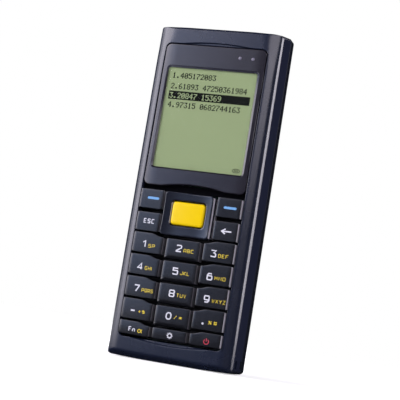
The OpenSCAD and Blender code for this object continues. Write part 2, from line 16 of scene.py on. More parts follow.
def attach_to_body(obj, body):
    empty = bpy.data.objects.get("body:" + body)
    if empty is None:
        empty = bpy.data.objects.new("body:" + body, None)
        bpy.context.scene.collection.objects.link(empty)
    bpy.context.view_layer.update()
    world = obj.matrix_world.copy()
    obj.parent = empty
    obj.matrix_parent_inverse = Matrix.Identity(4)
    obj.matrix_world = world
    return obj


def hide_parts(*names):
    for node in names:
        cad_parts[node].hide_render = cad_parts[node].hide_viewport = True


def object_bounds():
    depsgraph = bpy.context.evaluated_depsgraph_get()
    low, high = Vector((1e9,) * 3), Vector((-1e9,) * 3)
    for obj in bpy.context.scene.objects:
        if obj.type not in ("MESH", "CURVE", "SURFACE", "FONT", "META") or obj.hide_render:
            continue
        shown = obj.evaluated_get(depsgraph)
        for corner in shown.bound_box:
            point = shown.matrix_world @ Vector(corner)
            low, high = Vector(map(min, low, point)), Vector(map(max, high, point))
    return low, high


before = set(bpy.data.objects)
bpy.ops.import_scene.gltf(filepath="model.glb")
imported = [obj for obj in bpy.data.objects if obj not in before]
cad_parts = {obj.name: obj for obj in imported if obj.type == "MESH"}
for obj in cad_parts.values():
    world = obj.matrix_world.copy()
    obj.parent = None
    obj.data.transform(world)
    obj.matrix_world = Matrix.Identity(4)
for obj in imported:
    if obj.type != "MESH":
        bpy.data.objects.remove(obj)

bl_info = {
    "name": "Barcode data terminal",
    "version": (1, 0, 0),
    "blender": (4, 5, 0),
    "location": "View3D > Sidebar > Terminal",
    "description": "Builds the casing, keys, display and stage of a pocket barcode terminal",
    "category": "Object",
}

MM = 0.001
CAD_LOW, CAD_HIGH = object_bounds()
BACK = CAD_HIGH.y / MM
HALF_LENGTH = 70.6
MIDDLE = CAD_LOW.z / MM + HALF_LENGTH

# Number keys: name, column from left to right, row from the top
NUMBER_KEYS = (
    ("key_1", -1, 0), ("key_2", 0, 0), ("key_3", 1, 0),
    ("key_4", -1, 1), ("key_5", 0, 1), ("key_6", 1, 1),
    ("key_7", -1, 2), ("key_8", 0, 2), ("key_9", 1, 2),
    ("key_minus", -1, 3), ("key_0", 0, 3), ("key_point", 1, 3),
    ("key_function", -1, 4), ("key_backlight", 0, 4), ("key_power", 1, 4),
)
COMMAND_KEYS = ("key_soft_left", "key_soft_right", "key_escape", "key_back")


# --- Sizes and colours that a user may change -------------------------------------------


def length(name, millimetres, description):
    """A length property, kept in metres."""
    return FloatProperty(name=name, default=millimetres * MM, description=description,
                         unit="LENGTH", subtype="DISTANCE", precision=5)


def colour(name, rgb, description):
    """A colour property, as linear red, green and blue."""
    return FloatVectorProperty(name=name, default=rgb, description=description,
                               subtype="COLOR", size=3, min=0, max=1)


def angle(name, degrees, description):
    """An angle property, kept in radians."""
    return FloatProperty(name=name, default=math.radians(degrees), description=description,
                         subtype="ANGLE")


def power(name, watts, description):
    """A lamp's power property, in watts."""
    return FloatProperty(name=name, default=watts, description=description, unit="POWER", min=0)


class TerminalCasing(bpy.types.PropertyGroup):
    """Sizes of the two casing halves"""

    width: length("Width", (CAD_HIGH.x - CAD_LOW.x) / MM, "Width of the casing")
    length: length("Length", 2 * HALF_LENGTH, "Length of the front face, end to end")
    lean: length("Lean", 3.4, "How far the back of the scanner end reaches out beyond its front")
    depth: length("Depth", 25.5, "Depth of the casing at its two ends")
    crown: length("Crown", 0.7, "How far the front rises halfway along")
    joint: length("Joint", 8.2, "Height of the line between the two halves")
    wall: length("Wall", 1.8, "Thickness of the walls")
    back_round: length("Back rounding", 3.7, "Radius of the back edges")
    colour: colour("Casing", (0.0065, 0.0098, 0.022), "Deep navy of the front half")
    # Painted light: the upright sides take a paler navy than the front, without gloss
    painted_side_colour: colour("Sides", (0.013, 0.0155, 0.029), "Navy of the upright sides")
    rear_colour: colour("Rear", (0.0075, 0.0088, 0.013), "Black of the rear half")


class TerminalDisplay(bpy.types.PropertyGroup):
    """Sizes and colours of the display and its panel"""

    panel_half: length("Panel half width", 22.1, "Half the panel's width")
    panel_low: length("Panel low edge", 1.75, "Lower edge of the panel")
    panel_high: length("Panel high edge", 63.0, "Upper edge of the panel")
    window_half: length("Window half width", 20.3, "Half the window's width")
    window_low: length("Window low edge", 9.0, "Lower edge of the window")
    window_high: length("Window high edge", 53.4, "Upper edge of the window")
    panel_colour: colour("Panel", (0.0105, 0.0098, 0.0145), "Dark grey of the panel")
    glass_colour: colour("Display", (0.27, 0.345, 0.168), "Green grey of the display")
    ink_colour: colour("Dots", (0.003, 0.004, 0.003), "Colour of the lit dots")


class TerminalKeys(bpy.types.PropertyGroup):
    """Sizes and colours of the keys"""

    rise: length("Rise", 1.2, "How far the key tops stand above the front")
    pitch: length("Row pitch", 9.2, "From one row of number keys to the next")
    depth: length("Key depth", 8.7, "Depth of a number key along the casing")
    bend: length("Bend", 1.15, "How far the middle keys' upper edges step down")
    foot: length("Foot", 1.0, "How far the middle keys' bases reach out below their tops")
    colour: colour("Keys", (0.0055, 0.006, 0.008), "Near black of the keys")
    # Painted highlights: the key sides are paler than their tops, and the outer keys' right sides
    # paler still
    painted_side_colour: colour("Key sides", (0.1, 0.098, 0.108), "Sides of the keys")
    edge_highlight_colour: colour("Outer key sides", (0.46, 0.45, 0.49), "Pale right sides of the outer keys")
    scan_colour: colour("Scan key", (0.63, 0.445, 0.001), "Yellow of the scan key")
    legend_white: colour("White print", (0.5, 0.51, 0.54), "White print on the keys")
    legend_yellow: colour("Yellow print", (0.62, 0.48, 0.012), "Yellow print on the keys")
    legend_blue: colour("Blue print", (0.1, 0.27, 0.5), "Blue dashes of the soft keys")
    legend_red: colour("Red print", (0.36, 0.012, 0.03), "Red sign of the power key")


class TerminalStage(bpy.types.PropertyGroup):
    """The camera's place and the strength of the lights"""

    distance: length("Distance", 450.72, "From the camera to the point it looks at")
    azimuth: angle("Azimuth", 18.227, "How far the camera stands round to the right")
    elevation: angle("Elevation", -6.892, "How far the camera stands above its aim")
    roll: angle("Roll", 9.236, "Turn of the camera about its own axis")
    lens: FloatProperty(name="Lens", default=96.03, unit="CAMERA",
                        description="Focal length in millimetres on a 36 mm sensor")
    ambient: FloatProperty(name="Ambient", default=0.12, min=0,
                           description="Strength of the light from all round")
    left_front: power("Left front softbox", 17.0, "Softbox in front and to the left")
    left_side: power("Left side softbox", 1.6, "Softbox at the left")
    right: power("Right softbox", 6.2, "Softbox behind and to the right")
    front: power("Front softbox", 8.2, "Softbox in front and to the right")
    above: power("Upper softbox", 1.0, "Softbox in front and above")
    strip: power("Blue strip", 0.9, "Narrow blue strip whose gloss lies on the left keys")


def mm(value):
    """A length property's value in millimetres."""
    return value / MM


# The scene's settings, group by group


def casing():
    return bpy.context.scene.terminal_casing


def display():
    return bpy.context.scene.terminal_display


def keys():
    return bpy.context.scene.terminal_keys


def stage():
    return bpy.context.scene.terminal_stage


# --- Shapes shared by the pieces ---------------------------------------------------------


def place(x, y, z):
    """The frame's point for a point of the terminal, in metres."""
    return Vector((x * MM, (BACK - z) * MM, (MIDDLE + y) * MM))


def lerp(a, b, t):
    return a + (b - a) * t


def ease(t):
    """A smooth step from 0 to 1."""
    t = min(1.0, max(0.0, t))
    return t * t * (3 - 2 * t)


def soft_min(a, b, blend):
    """The lower of two heights, with the crease between them rounded."""
    near = max(blend - abs(a - b), 0.0) / blend
    return min(a, b) - near * near * blend / 4


def round_over(distance, radius, fall):
    """How far a surface has dropped at a distance from its rounded edge."""
    if distance >= radius:
        return 0.0
    u = 1 - max(distance, 0.0) / radius
    return fall * (1 - math.sqrt(max(1 - u * u, 0.0)))


def front(y):
    """Height of the crowned front face at a place along the casing."""
    body = casing()
    return mm(body.depth) + mm(body.crown) * (1 - (2 * y / mm(body.length)) ** 2)


def bow(x):
    """How far the ends draw back, as a minus, beside their flat middles."""
    flat, curve = 0.15, 0.55
    return min(flat - curve * (2 * x / mm(casing().width)) ** 2, 0.0)


def scan_end(z):
    """Where the scanner end lies at a height: it leans back above the joint."""
    body = casing()
    half, joint, at_rim = mm(body.length) / 2, mm(body.joint), 0.12
    return lerp(half + mm(body.lean), half + at_rim, (max(z, joint) - joint) / (RIM - joint))


def low_end(z):
    """How far down the lower end lies at a height: upright, drawn in a little at the front."""
    drawn, start, span = 0.25, 17, 5.3
    return mm(casing().length) / 2 - drawn * min(max((z - start) / span, 0.0), 1.0)


def rounded(x0, x1, y0, y1, r, arc=6, across=24, along=24, low_r=None):
    """Points of a rounded rectangle, anticlockwise from its right-hand side."""
    q = low_r or r
    corners = ((x1 - r, y1 - r, r), (x0 + r, y1 - r, r), (x0 + q, y0 + q, q), (x1 - q, y0 + q, q))
    arcs = []
    for k, (cx, cy, size) in enumerate(corners):
        turn = [math.radians(90 * (k + i / arc)) for i in range(arc + 1)]
        arcs.append([(cx + size * math.cos(a), cy + size * math.sin(a)) for a in turn])
    points = []
    for k, here in enumerate(arcs):
        points += here
        steps = across if k % 2 == 0 else along
        (ax, ay), (bx, by) = here[-1], arcs[(k + 1) % 4][0]
        points += [(lerp(ax, bx, i / steps), lerp(ay, by, i / steps)) for i in range(1, steps)]
    return points


def normals_of(points):
    """Outward normal at each point of an anticlockwise outline."""
    found = []
    for i, _ in enumerate(points):
        (ax, ay), (bx, by) = points[i - 1], points[(i + 1) % len(points)]
        size = math.hypot(bx - ax, by - ay) or 1.0
        found.append(((by - ay) / size, (ax - bx) / size))
    return found


def drawn_in(outline, inset):
    """An anticlockwise outline moved inwards along its normals."""
    return [(x - nx * inset, y - ny * inset)
            for (x, y), (nx, ny) in zip(outline, normals_of(outline))]


def drawn_to(outline, middle, share):
    """An outline with each point moved a share of its way to the middle."""
    return [(lerp(x, middle[0], share), lerp(y, middle[1], share)) for x, y in outline]


def turns(count):
    """The angles that divide a full turn."""
    return [2 * math.pi * i / count for i in range(count)]


def oval(x, y, half_w, half_h, count=32):
    return [(x + half_w * math.cos(a), y + half_h * math.sin(a)) for a in turns(count)]


def circle(x, y, r, count=32):
    return oval(x, y, r, r, count)


class Mesh:
    """Gathers rings of points in the terminal's millimetres and makes one piece of them."""

    def __init__(self):
        self.bm = bmesh.new()

    def ring(self, points):
        """New corners at points of the terminal."""
        return [self.bm.verts.new(place(*p)) for p in points]

    def level(self, outline, z):
        """A ring from an outline and one height, or a height for each point."""
        if callable(z):
            return self.ring([(x, y, z(x, y)) for x, y in outline])
        return self.ring([(x, y, z) for x, y in outline])

    def bridge(self, a, b):
        """Faces between two rings of as many corners."""
        count = len(a)
        for i in range(count):
            j = (i + 1) % count
            self.bm.faces.new((a[i], a[j], b[j], b[i]))

    def skin(self, rings, ring_closed=False):
        """Joins each ring to the next, and the last to the first if the loop closes."""
        for a, b in zip(rings, rings[1:]):
            self.bridge(a, b)
        if ring_closed:
            self.bridge(rings[-1], rings[0])

    def cap(self, ring):
        self.bm.faces.new(ring)

    def solid(self, rings):
        """Skins the rings and closes both ends."""
        self.skin(rings)
        self.cap(rings[0])
        self.cap(rings[-1])

    def span(self, first, last, shares, height):
        """Rings at shares of the way from one outline to another, over a surface.

        Its height is worked out from x, y and the distances to the two outlines."""
        rings = []
        for share in shares:
            points = []
            for (ax, ay), (bx, by) in zip(first, last):
                x, y = lerp(ax, bx, share), lerp(ay, by, share)
                z = height(x, y, math.hypot(x - ax, y - ay), math.hypot(x - bx, y - by))
                points.append((x, y, z))
            rings.append(self.ring(points))
        return rings

    def dome(self, ring, centre):
        """Closes a ring with a fan to one point."""
        tip = self.bm.verts.new(place(*centre))
        for i, v in enumerate(ring):
            self.bm.faces.new((v, ring[(i + 1) % len(ring)], tip))

    def lathe(self, x, y, profile, count=32):
        """Turns a profile of (radius, height) about an axis out of the front."""
        self.solid([self.level(circle(x, y, r, count), z) for r, z in profile])

    def block(self, low, high):
        """A box between two corners."""
        outline = ((high[0], low[1]), (high[0], high[1]), (low[0], high[1]), (low[0], low[1]))
        self.solid([self.level(outline, low[2]), self.level(outline, high[2])])

    def rod(self, x0, x1, y, z, r, count=32):
        """A cylinder along X."""
        self.solid([self.ring([(x, y + cy, z + cz) for cy, cz in circle(0, 0, r, count)])
                    for x in (x0, x1)])

    def finish(self, name, material=None, smooth=35):
        """Makes the object, shaded smooth below the given angle."""
        bmesh.ops.recalc_face_normals(self.bm, faces=self.bm.faces)
        data = bpy.data.meshes.new(name)
        self.bm.to_mesh(data)
        self.bm.free()
        piece = bpy.data.objects.new(name, data)
        bpy.context.scene.collection.objects.link(piece)
        if material:
            data.materials.append(MATERIALS[material])
        shade(piece, smooth)
        return piece


def shade(piece, degrees):
    """Smooth faces, with edges sharper than the angle kept crisp."""
    data = piece.data
    work = bmesh.new()
    work.from_mesh(data)
    for face in work.faces:
        face.smooth = True
    for edge in work.edges:
        edge.smooth = len(edge.link_faces) == 2 and edge.calc_face_angle(0) < math.radians(degrees)
    work.to_mesh(data)
    work.free()


def paint_sides(piece, material, steep, right_material=None):
    """Gives the faces that look to the left and to the right their own materials: painted light and
    shade on those sides.

    Steep is the least share of a face's normal that has to point to that side."""
    first = len(piece.data.materials)
    piece.data.materials.append(MATERIALS[material])
    piece.data.materials.append(MATERIALS[right_material or material])
    for face in piece.data.polygons:
        if abs(face.normal.x) > steep:
            face.material_index = first + (face.normal.x > 0)


def apply_modifiers(piece):
    """Puts what the piece's modifiers make into its mesh."""
    ready = bpy.context.evaluated_depsgraph_get()
    data = bpy.data.meshes.new_from_object(piece.evaluated_get(ready))
    piece.modifiers.clear()
    old = piece.data
    piece.data = data
    bpy.data.meshes.remove(old)


def carve(piece, tools, operation="DIFFERENCE"):
    """Cuts the tools out of a piece, or joins them to it, and removes the tools."""
    for tool in tools:
        step = piece.modifiers.new("carve", "BOOLEAN")
        step.operation = operation
        step.solver = "EXACT"
        step.object = tool
    apply_modifiers(piece)
    for tool in tools:
        data = tool.data
        bpy.data.objects.remove(tool)
        bpy.data.meshes.remove(data)


def tool_piece(form, *sizes):
    """A block, a rod or a turned shape that cuts or joins other pieces."""
    shape = Mesh()
    form(shape, *sizes)
    return shape.finish("tool")


def attach(piece, body="casing", stands_for=()):
    """Lets a piece ride on its body, and says what it stands for."""
    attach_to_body(piece, body)
    if stands_for:
        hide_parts(*stands_for)
    return piece


# --- Materials ---------------------------------------------------------------------------


class Finish:
    """Builds the nodes of one material."""

    def __init__(self, name, base, rough, **sockets):
        self.material = bpy.data.materials.new(name)
        self.material.use_nodes = True
        self.tree = self.material.node_tree
        self.shader = self.tree.nodes["Principled BSDF"]
        self.set("Base Color", (*base, 1))
        self.set("Roughness", rough)
        for socket, value in sockets.items():
            self.set(socket.replace("_", " "), value)
        self.base = base
        self.rough = rough
        self.place = self.node("ShaderNodeTexCoord").outputs["Object"]

    def set(self, socket, value):
        self.shader.inputs[socket].default_value = value

    def node(self, kind, **inputs):
        made = self.tree.nodes.new(kind)
        for name, value in inputs.items():
            made.inputs[name].default_value = value
        return made

    def link(self, out, into):
        self.tree.links.new(out, into)

    def noise(self, size_mm, detail=2.0):
        """Noise whose blobs are about size_mm across."""
        made = self.node("ShaderNodeTexNoise", Scale=1 / (size_mm * MM), Detail=detail)
        self.link(self.place, made.inputs["Vector"])
        return made.outputs["Fac"]

    def spread(self, source, low, high):
        """Maps a noise, which mostly lies between 0.3 and 0.7, to a range of values."""
        made = self.node("ShaderNodeMapRange", **{"From Min": 0.3, "From Max": 0.7, "To Min": low,
                                                  "To Max": high})
        self.link(source, made.inputs["Value"])
        return made.outputs["Result"]

    def mottle(self, size_mm, amount):
        """Lets the colour drift a little from place to place."""
        mix = self.tree.nodes.new("ShaderNodeMix")
        mix.data_type = "RGBA"
        ends = [tuple(min(1.0, c * (1 + sign * amount)) for c in self.base) for sign in (-1, 1)]
        mix.inputs[6].default_value = (*ends[0], 1)
        mix.inputs[7].default_value = (*ends[1], 1)
        self.link(self.noise(size_mm, 3), mix.inputs["Factor"])
        self.link(mix.outputs[2], self.shader.inputs["Base Color"])
        return self

    def patchy(self, size_mm, amount):
        """Lets the roughness drift a little from place to place."""
        level = self.spread(self.noise(size_mm, 4), self.rough - amount, self.rough + amount)
        self.link(level, self.shader.inputs["Roughness"])
        return self

    def grain(self, size_mm, height_mm, strength=1.0):
        """A moulded grain, as bumps."""
        bump = self.node("ShaderNodeBump", Strength=strength, Distance=height_mm * MM)
        self.link(self.noise(size_mm, 1), bump.inputs["Height"])
        self.link(bump.outputs["Normal"], self.shader.inputs["Normal"])
        return self

    def brushed(self, size_mm, height_mm, stretch):
        """Fine lines, drawn out along one direction."""
        scale = self.node("ShaderNodeMapping", Scale=stretch)
        self.link(self.place, scale.inputs["Vector"])
        lines = self.node("ShaderNodeTexNoise", Scale=1 / (size_mm * MM), Detail=3.0)
        self.link(scale.outputs["Vector"], lines.inputs["Vector"])
        bump = self.node("ShaderNodeBump", Strength=0.6, Distance=height_mm * MM)
        self.link(lines.outputs["Fac"], bump.inputs["Height"])
        self.link(bump.outputs["Normal"], self.shader.inputs["Normal"])
        return self


MATERIALS = {}


def moulded(name, base, rough, grain_mm=0.3, height_mm=0.004, drift=0.08, **sockets):
    """Moulded plastic or rubber: a fine grain, and a slight drift in colour and gloss."""
    made = Finish(name, base, rough, **sockets)
    made.mottle(6.0, drift).patchy(9.0, 0.02).grain(grain_mm, height_mm)
    MATERIALS[name] = made.material


def metal(name, base, rough, size_mm=0.15, stretch=(1, 1, 12)):
    """Metal with a slight drift in colour and gloss, and fine lines."""
    made = Finish(name, base, rough, Metallic=1.0)
    made.mottle(2.0, 0.06).patchy(3.0, 0.05).brushed(size_mm, 0.002, stretch)
    MATERIALS[name] = made.material


def make_materials():
    """Every finish on the terminal, by name."""
    body, screen, pads = casing(), display(), keys()
    moulded("casing_navy", tuple(body.colour), 0.27, 0.32, 0.005)
    # Painted light and shade: a paler copy of the navy without gloss, for the faces that look to the
    # sides
    moulded("casing_side", tuple(body.painted_side_colour), 0.4, 0.32, 0.004, Specular_IOR_Level=0.0)
    moulded("rear_black", tuple(body.rear_colour), 0.36, 0.4, 0.006, Specular_IOR_Level=0.3)
    # Painted shade: a copy of the rear's black without gloss, for the faces that look to the sides
    moulded("rear_side", tuple(body.rear_colour), 0.36, 0.4, 0.004, Specular_IOR_Level=0.0)
    moulded("panel_grey", tuple(screen.panel_colour), 0.24, 0.5, 0.002)
    moulded("key_black", tuple(pads.colour), 0.24, 0.45, 0.002)
    # Painted highlights on the sides of the keys and the pad: paler copies of the keys' black
    moulded("key_side", tuple(pads.painted_side_colour), 0.4, 0.45, 0.002)
    moulded("key_edge", tuple(pads.edge_highlight_colour), 0.4, 0.45, 0.002)
    moulded("pad_black", (0.006, 0.0075, 0.013), 0.2, 0.5, 0.002)
    moulded("scan_yellow", tuple(pads.scan_colour), 0.25, 0.6, 0.002, 0.03,
            Specular_IOR_Level=0.15, Coat_Weight=0.05, Coat_Roughness=0.08)
    moulded("mat_rubber", (0.012, 0.012, 0.013), 0.7, 0.25, 0.01)
    moulded("seal_rubber", (0.008, 0.008, 0.008), 0.75, 0.2, 0.01)
    moulded("white_plastic", (0.7, 0.7, 0.68), 0.4)
    moulded("light_guide", (0.62, 0.74, 0.58), 0.2, 0.5, 0.002)
    moulded("amber_film", (0.42, 0.16, 0.02), 0.3, 0.6, 0.002)
    moulded("lens_lilac", (0.11, 0.105, 0.14), 0.25, 0.4, 0.002)
    moulded("board_green", (0.006, 0.07, 0.025), 0.38, 0.5, 0.006)
    moulded("chip_black", (0.012, 0.012, 0.014), 0.5, 0.2, 0.004)
    moulded("cell_jacket", (0.02, 0.09, 0.3), 0.25, 0.6, 0.002)
    moulded("scan_red", (0.05, 0.002, 0.004), 0.08, 0.6, 0.001, Coat_Weight=0.6,
            Coat_Roughness=0.04)
    moulded("lens_clear", (0.5, 0.6, 0.66), 0.06, 0.6, 0.001)
    moulded("print_white", tuple(pads.legend_white), 0.45, 0.3, 0.002, 0.02)
    moulded("print_yellow", tuple(pads.legend_yellow), 0.45, 0.3, 0.002, 0.03)
    moulded("print_blue", tuple(pads.legend_blue), 0.45, 0.3, 0.002, 0.03)
    moulded("print_red", tuple(pads.legend_red), 0.45, 0.3, 0.002, 0.03)
    moulded("display_green", tuple(screen.glass_colour), 0.6, 0.5, 0.0005, 0.01,
            Specular_IOR_Level=0.1)
    moulded("display_ink", tuple(screen.ink_colour), 0.6, 0.4, 0.001, Specular_IOR_Level=0.05)
    # Painted shade: near black with no gloss, for the lining that shows in the gap between the panel
    # and the keys
    moulded("gap_black", (0.003, 0.003, 0.004), 0.8, 0.5, 0.001, Specular_IOR_Level=0.0)
    metal("steel", (0.56, 0.56, 0.58), 0.28)
    metal("brass_gold", (0.78, 0.56, 0.2), 0.25)
    metal("mirror_silver", (0.88, 0.88, 0.92), 0.06)
    metal("engine_zinc", (0.42, 0.42, 0.45), 0.4)
    metal("copper_wire", (0.72, 0.33, 0.14), 0.3, 0.12, (12, 1, 1))
    clear = Finish("clear_window", (0.02, 0.024, 0.022), 0.05, Alpha=0.08, Specular_IOR_Level=0.03)
    clear.mottle(12.0, 0.03).patchy(8.0, 0.02)
    MATERIALS["clear_window"] = clear.material


# --- Casing ------------------------------------------------------------------------------

# How densely the casing's outline is divided, the same for every ring
CASING_STEPS = {"arc": 8, "across": 52, "along": 44}
# Left, right, lower and upper edges of the opening for the display and the keys
OPENING = (-22.5, 22.5, -62.0, 63.3)
OPENING_ROUND = 2.5
# Heights of the side's upper edge, the front's inner face and the front's outline
SIDE_TOP, ROOF, RIM = 20.1, 21.0, 24
# Radii of the outline's corners
BACK_CORNER, FRONT_CORNER, LOW_CORNER_EXTRA = 0.9, 1.4, 0.8
# Ends of the strap's hollow along the casing
STRAP_SLOT = (-68.0, -64.7)
# The battery door's left, right, lower and upper edges, and its hinge's Y and Z
DOOR = (-15.4, 15.4, -64.2, -7.4)
HINGE = (-62.5, 1.7)
SCREW_PLACES = [(x, y) for x in (-18.5, 18.5) for y in (-64.9, 65.6)]


def casing_ring(z, inset=0.0):
    """Outline of the casing at a height, drawn in by inset, its ends bowed.

    The corners are a little sharper behind, and rounder at the lower end."""
    share = min(max((z - 8) / (RIM - 8), 0.0), 1.0)
    corner = lerp(BACK_CORNER, FRONT_CORNER, share) + inset * 0.1
    low_corner = corner + LOW_CORNER_EXTRA
    half = mm(casing().width) / 2 - inset
    low, high = -low_end(z), scan_end(z)
    ring = rounded(-half, half, low - bow(half + inset - low_corner) + inset,
                   high + bow(half + inset - corner) - inset, corner, low_r=low_corner, **CASING_STEPS)
    bowed = []
    for x, y in ring:
        if abs(x) < half - (corner if y > 0 else low_corner) - 0.001:
            y = high + bow(x) - inset if y > 0 else low - bow(x) + inset
        bowed.append((x, y))
    return bowed


def opening_ring(grow=0.0):
    """Outline of the long opening, made wider by grow."""
    x0, x1, y0, y1 = OPENING
    return rounded(x0 - grow, x1 + grow, y0 - grow, y1 + grow, OPENING_ROUND + grow, **CASING_STEPS)


def scoop_depth(x, y):
    """Depth of the finger scoops above the display panel and below the keys."""
    radius = 105.0
    upper_reach, upper_deep, upper_wall = 1.2, 0.75, 0.3
    low_reach, low_deep, low_wall = 1.6, 0.6375, 0.8
    _, _, low, high = OPENING
    sagitta = radius - math.sqrt(radius ** 2 - x ** 2)
    if y > high - 1:
        return upper_deep * ease((high + upper_reach - sagitta - y) / upper_wall)
    if y < low + 0.5:
        return low_deep * ease((y - low + low_reach - sagitta) / low_wall)
    return 0.0


def side_height(x, y):
    """Height of the casing's rolled long edges and the narrow chamfer below them.

    The roll starts from the crowned front and is broader at the scanner end."""
    roll_foot, roll_x = 20.65, 27.16
    chamfer_x, chamfer_foot = 26.7, 20.55
    reach, broader, broad_from, broad_over = 5.64, 3.0, 54, 16
    reach += broader * ease((y - broad_from) / broad_over)
    half = mm(casing().width) / 2
    x = abs(x)
    across = max(min(x, chamfer_x) - roll_x + reach, 0.0) / reach
    height = roll_foot + (front(y) + 0.09 - roll_foot) * math.sqrt(1 - across * across)
    if x > chamfer_x:
        return lerp(height, chamfer_foot, (x - chamfer_x) / (half - chamfer_x))
    return height


def end_height(x, y):
    """Height of the front face, rolled over at the scanner end and bevelled at the lower end."""
    if y > 0:
        return front(y) - round_over(scan_end(RIM) + bow(x) - y, 1.5, 1.5)
    bevel_foot, bevel_slope = 22.3, 1.49
    return soft_min(front(y), bevel_foot + bevel_slope * (low_end(bevel_foot) + bow(x) + y), 0.7)


def face_height(x, y):
    """Height of the casing's front at a point, with the scoops taken out."""
    return soft_min(side_height(x, y), end_height(x, y), 0.35) - scoop_depth(x, y)


def front_casing():
    """Front half: rolled borders round the long opening, with a thin rounded lip."""
    joint, wall = mm(casing().joint), mm(casing().wall)
    inner, outer = opening_ring(), casing_ring(RIM)
    lip_r = 0.28
    shape = Mesh()
    # Closest at the lip, over the roll and at the chamfer
    shares = [0, 0.01, 0.02, 0.035, 0.05, 0.065, 0.08, 0.095, 0.11, 0.125, 0.14, 0.155, 0.17,
              0.19, 0.22, 0.27, 0.34, 0.42, 0.5, 0.57, 0.64, 0.7, 0.75, 0.79, 0.82, 0.845,
              0.865, 0.885, 0.9, 0.909, 0.918, 0.93, 0.945, 0.96, 0.975, 0.988, 1.0]
    rings = shape.span(inner, outer, shares,
                       lambda x, y, near, far: face_height(x, y) - round_over(near, lip_r, lip_r))
    # Down the side, round the edge at the joint line and up again inside
    for inset, z in ((0, SIDE_TOP), (0, 12.0), (0, joint + 0.5), (0, joint + 0.25),
                     (0.08, joint + 0.08), (0.2, joint + 0.02), (wall, joint + 0.02), (wall, ROOF)):
        rings.append(shape.level(casing_ring(z, inset), z))
    rings.append(shape.level(opening_ring(0.01), ROOF))
    rings.append(shape.level(inner, ROOF + 0.4))
    shape.skin(rings, ring_closed=True)
    piece = shape.finish("front_shell", "casing_navy")
    carve(piece, [strap_wall()], "UNION")
    carve(piece, [scan_aperture(), *strap_slots(), *contact_slots()])
    shade(piece, 32)
    # The faces that look to the sides take the paler navy without gloss: painted light in place of
    # their reflection
    paint_sides(piece, "casing_side", 0.995)
    return attach(piece, stands_for=["front_casing"])


def strap_wall():
    """Thick wall for the strap's bar, at the lower end of the right side."""
    edge, joint = mm(casing().width) / 2, mm(casing().joint)
    low, high = STRAP_SLOT
    return tool_piece(Mesh.block, (edge - 3.4, low - 1.2, joint + 0.1), (edge - 1, high + 1.2, 19.6))


def strap_slots():
    """The hollow behind the strap's bar, and its two mouths beside the bar."""
    edge, below_joint = mm(casing().width) / 2, mm(casing().joint) - 1
    low, high = STRAP_SLOT
    bar_low, bar_high, slot_top = 10.2, 15.4, 18.1
    return [tool_piece(Mesh.block, (edge - inner, low, z0), (edge + outer, high, z1))
            for inner, outer, z0, z1 in ((3.6, -1.4, below_joint, slot_top),
                                         (2, 2, bar_high, slot_top), (2, 2, below_joint, bar_low))]


def contact_slots():
    """Four slots in the lower end for the cradle's contacts."""
    end = -mm(casing().length) / 2
    return [tool_piece(Mesh.block, (x - 1.05, end - 2, 10.95), (x + 1.05, end + 3, 15.05))
            for x in (-6, -2, 2, 6)]


def scan_aperture():
    """The hole for the scan window, square to the leaning end, its mouth widened a little."""
    middle = 13.4
    up = Vector((0, scan_end(20) - scan_end(12), 8)).normalized()
    inward = Vector((0, -up.z, up.y))
    outline = rounded(-15, 15, -3.8, 3.8, 1.0, arc=5, across=4, along=2)
    sides = normals_of(outline)
    shape = Mesh()
    tunnel = []
    for grow, depth in ((0.3, -1), (0.3, -0.01), (0.0, 0.3), (0.0, 3.2)):
        base = Vector((0, scan_end(middle), middle)) + inward * depth
        tunnel.append(shape.ring([(x + nx * grow, *(base + up * (t + nt * grow)).yz)
                                  for (x, t), (nx, nt) in zip(outline, sides)]))
    shape.solid(tunnel)
    return shape.finish("tool")


def casing_lining():
    """Ledge under the display panel, and the bar between the panel and the keys, in near black:
    painted shade in the gap.
    """
    shape = Mesh()
    outer = rounded(-22.45, 22.45, 0.2, 63.2, 0.6)
    inner = rounded(-21.3, 21.3, 3.0, 62.3, 1.5)
    low, high = 22.0, 23.3
    rings = [shape.level(outer, low), shape.level(outer, high - 0.1), shape.level(outer, high),
             shape.level(inner, high), shape.level(inner, low)]
    shape.skin(rings, ring_closed=True)
    piece = shape.finish("casing_lining", "gap_black")
    return attach(piece)


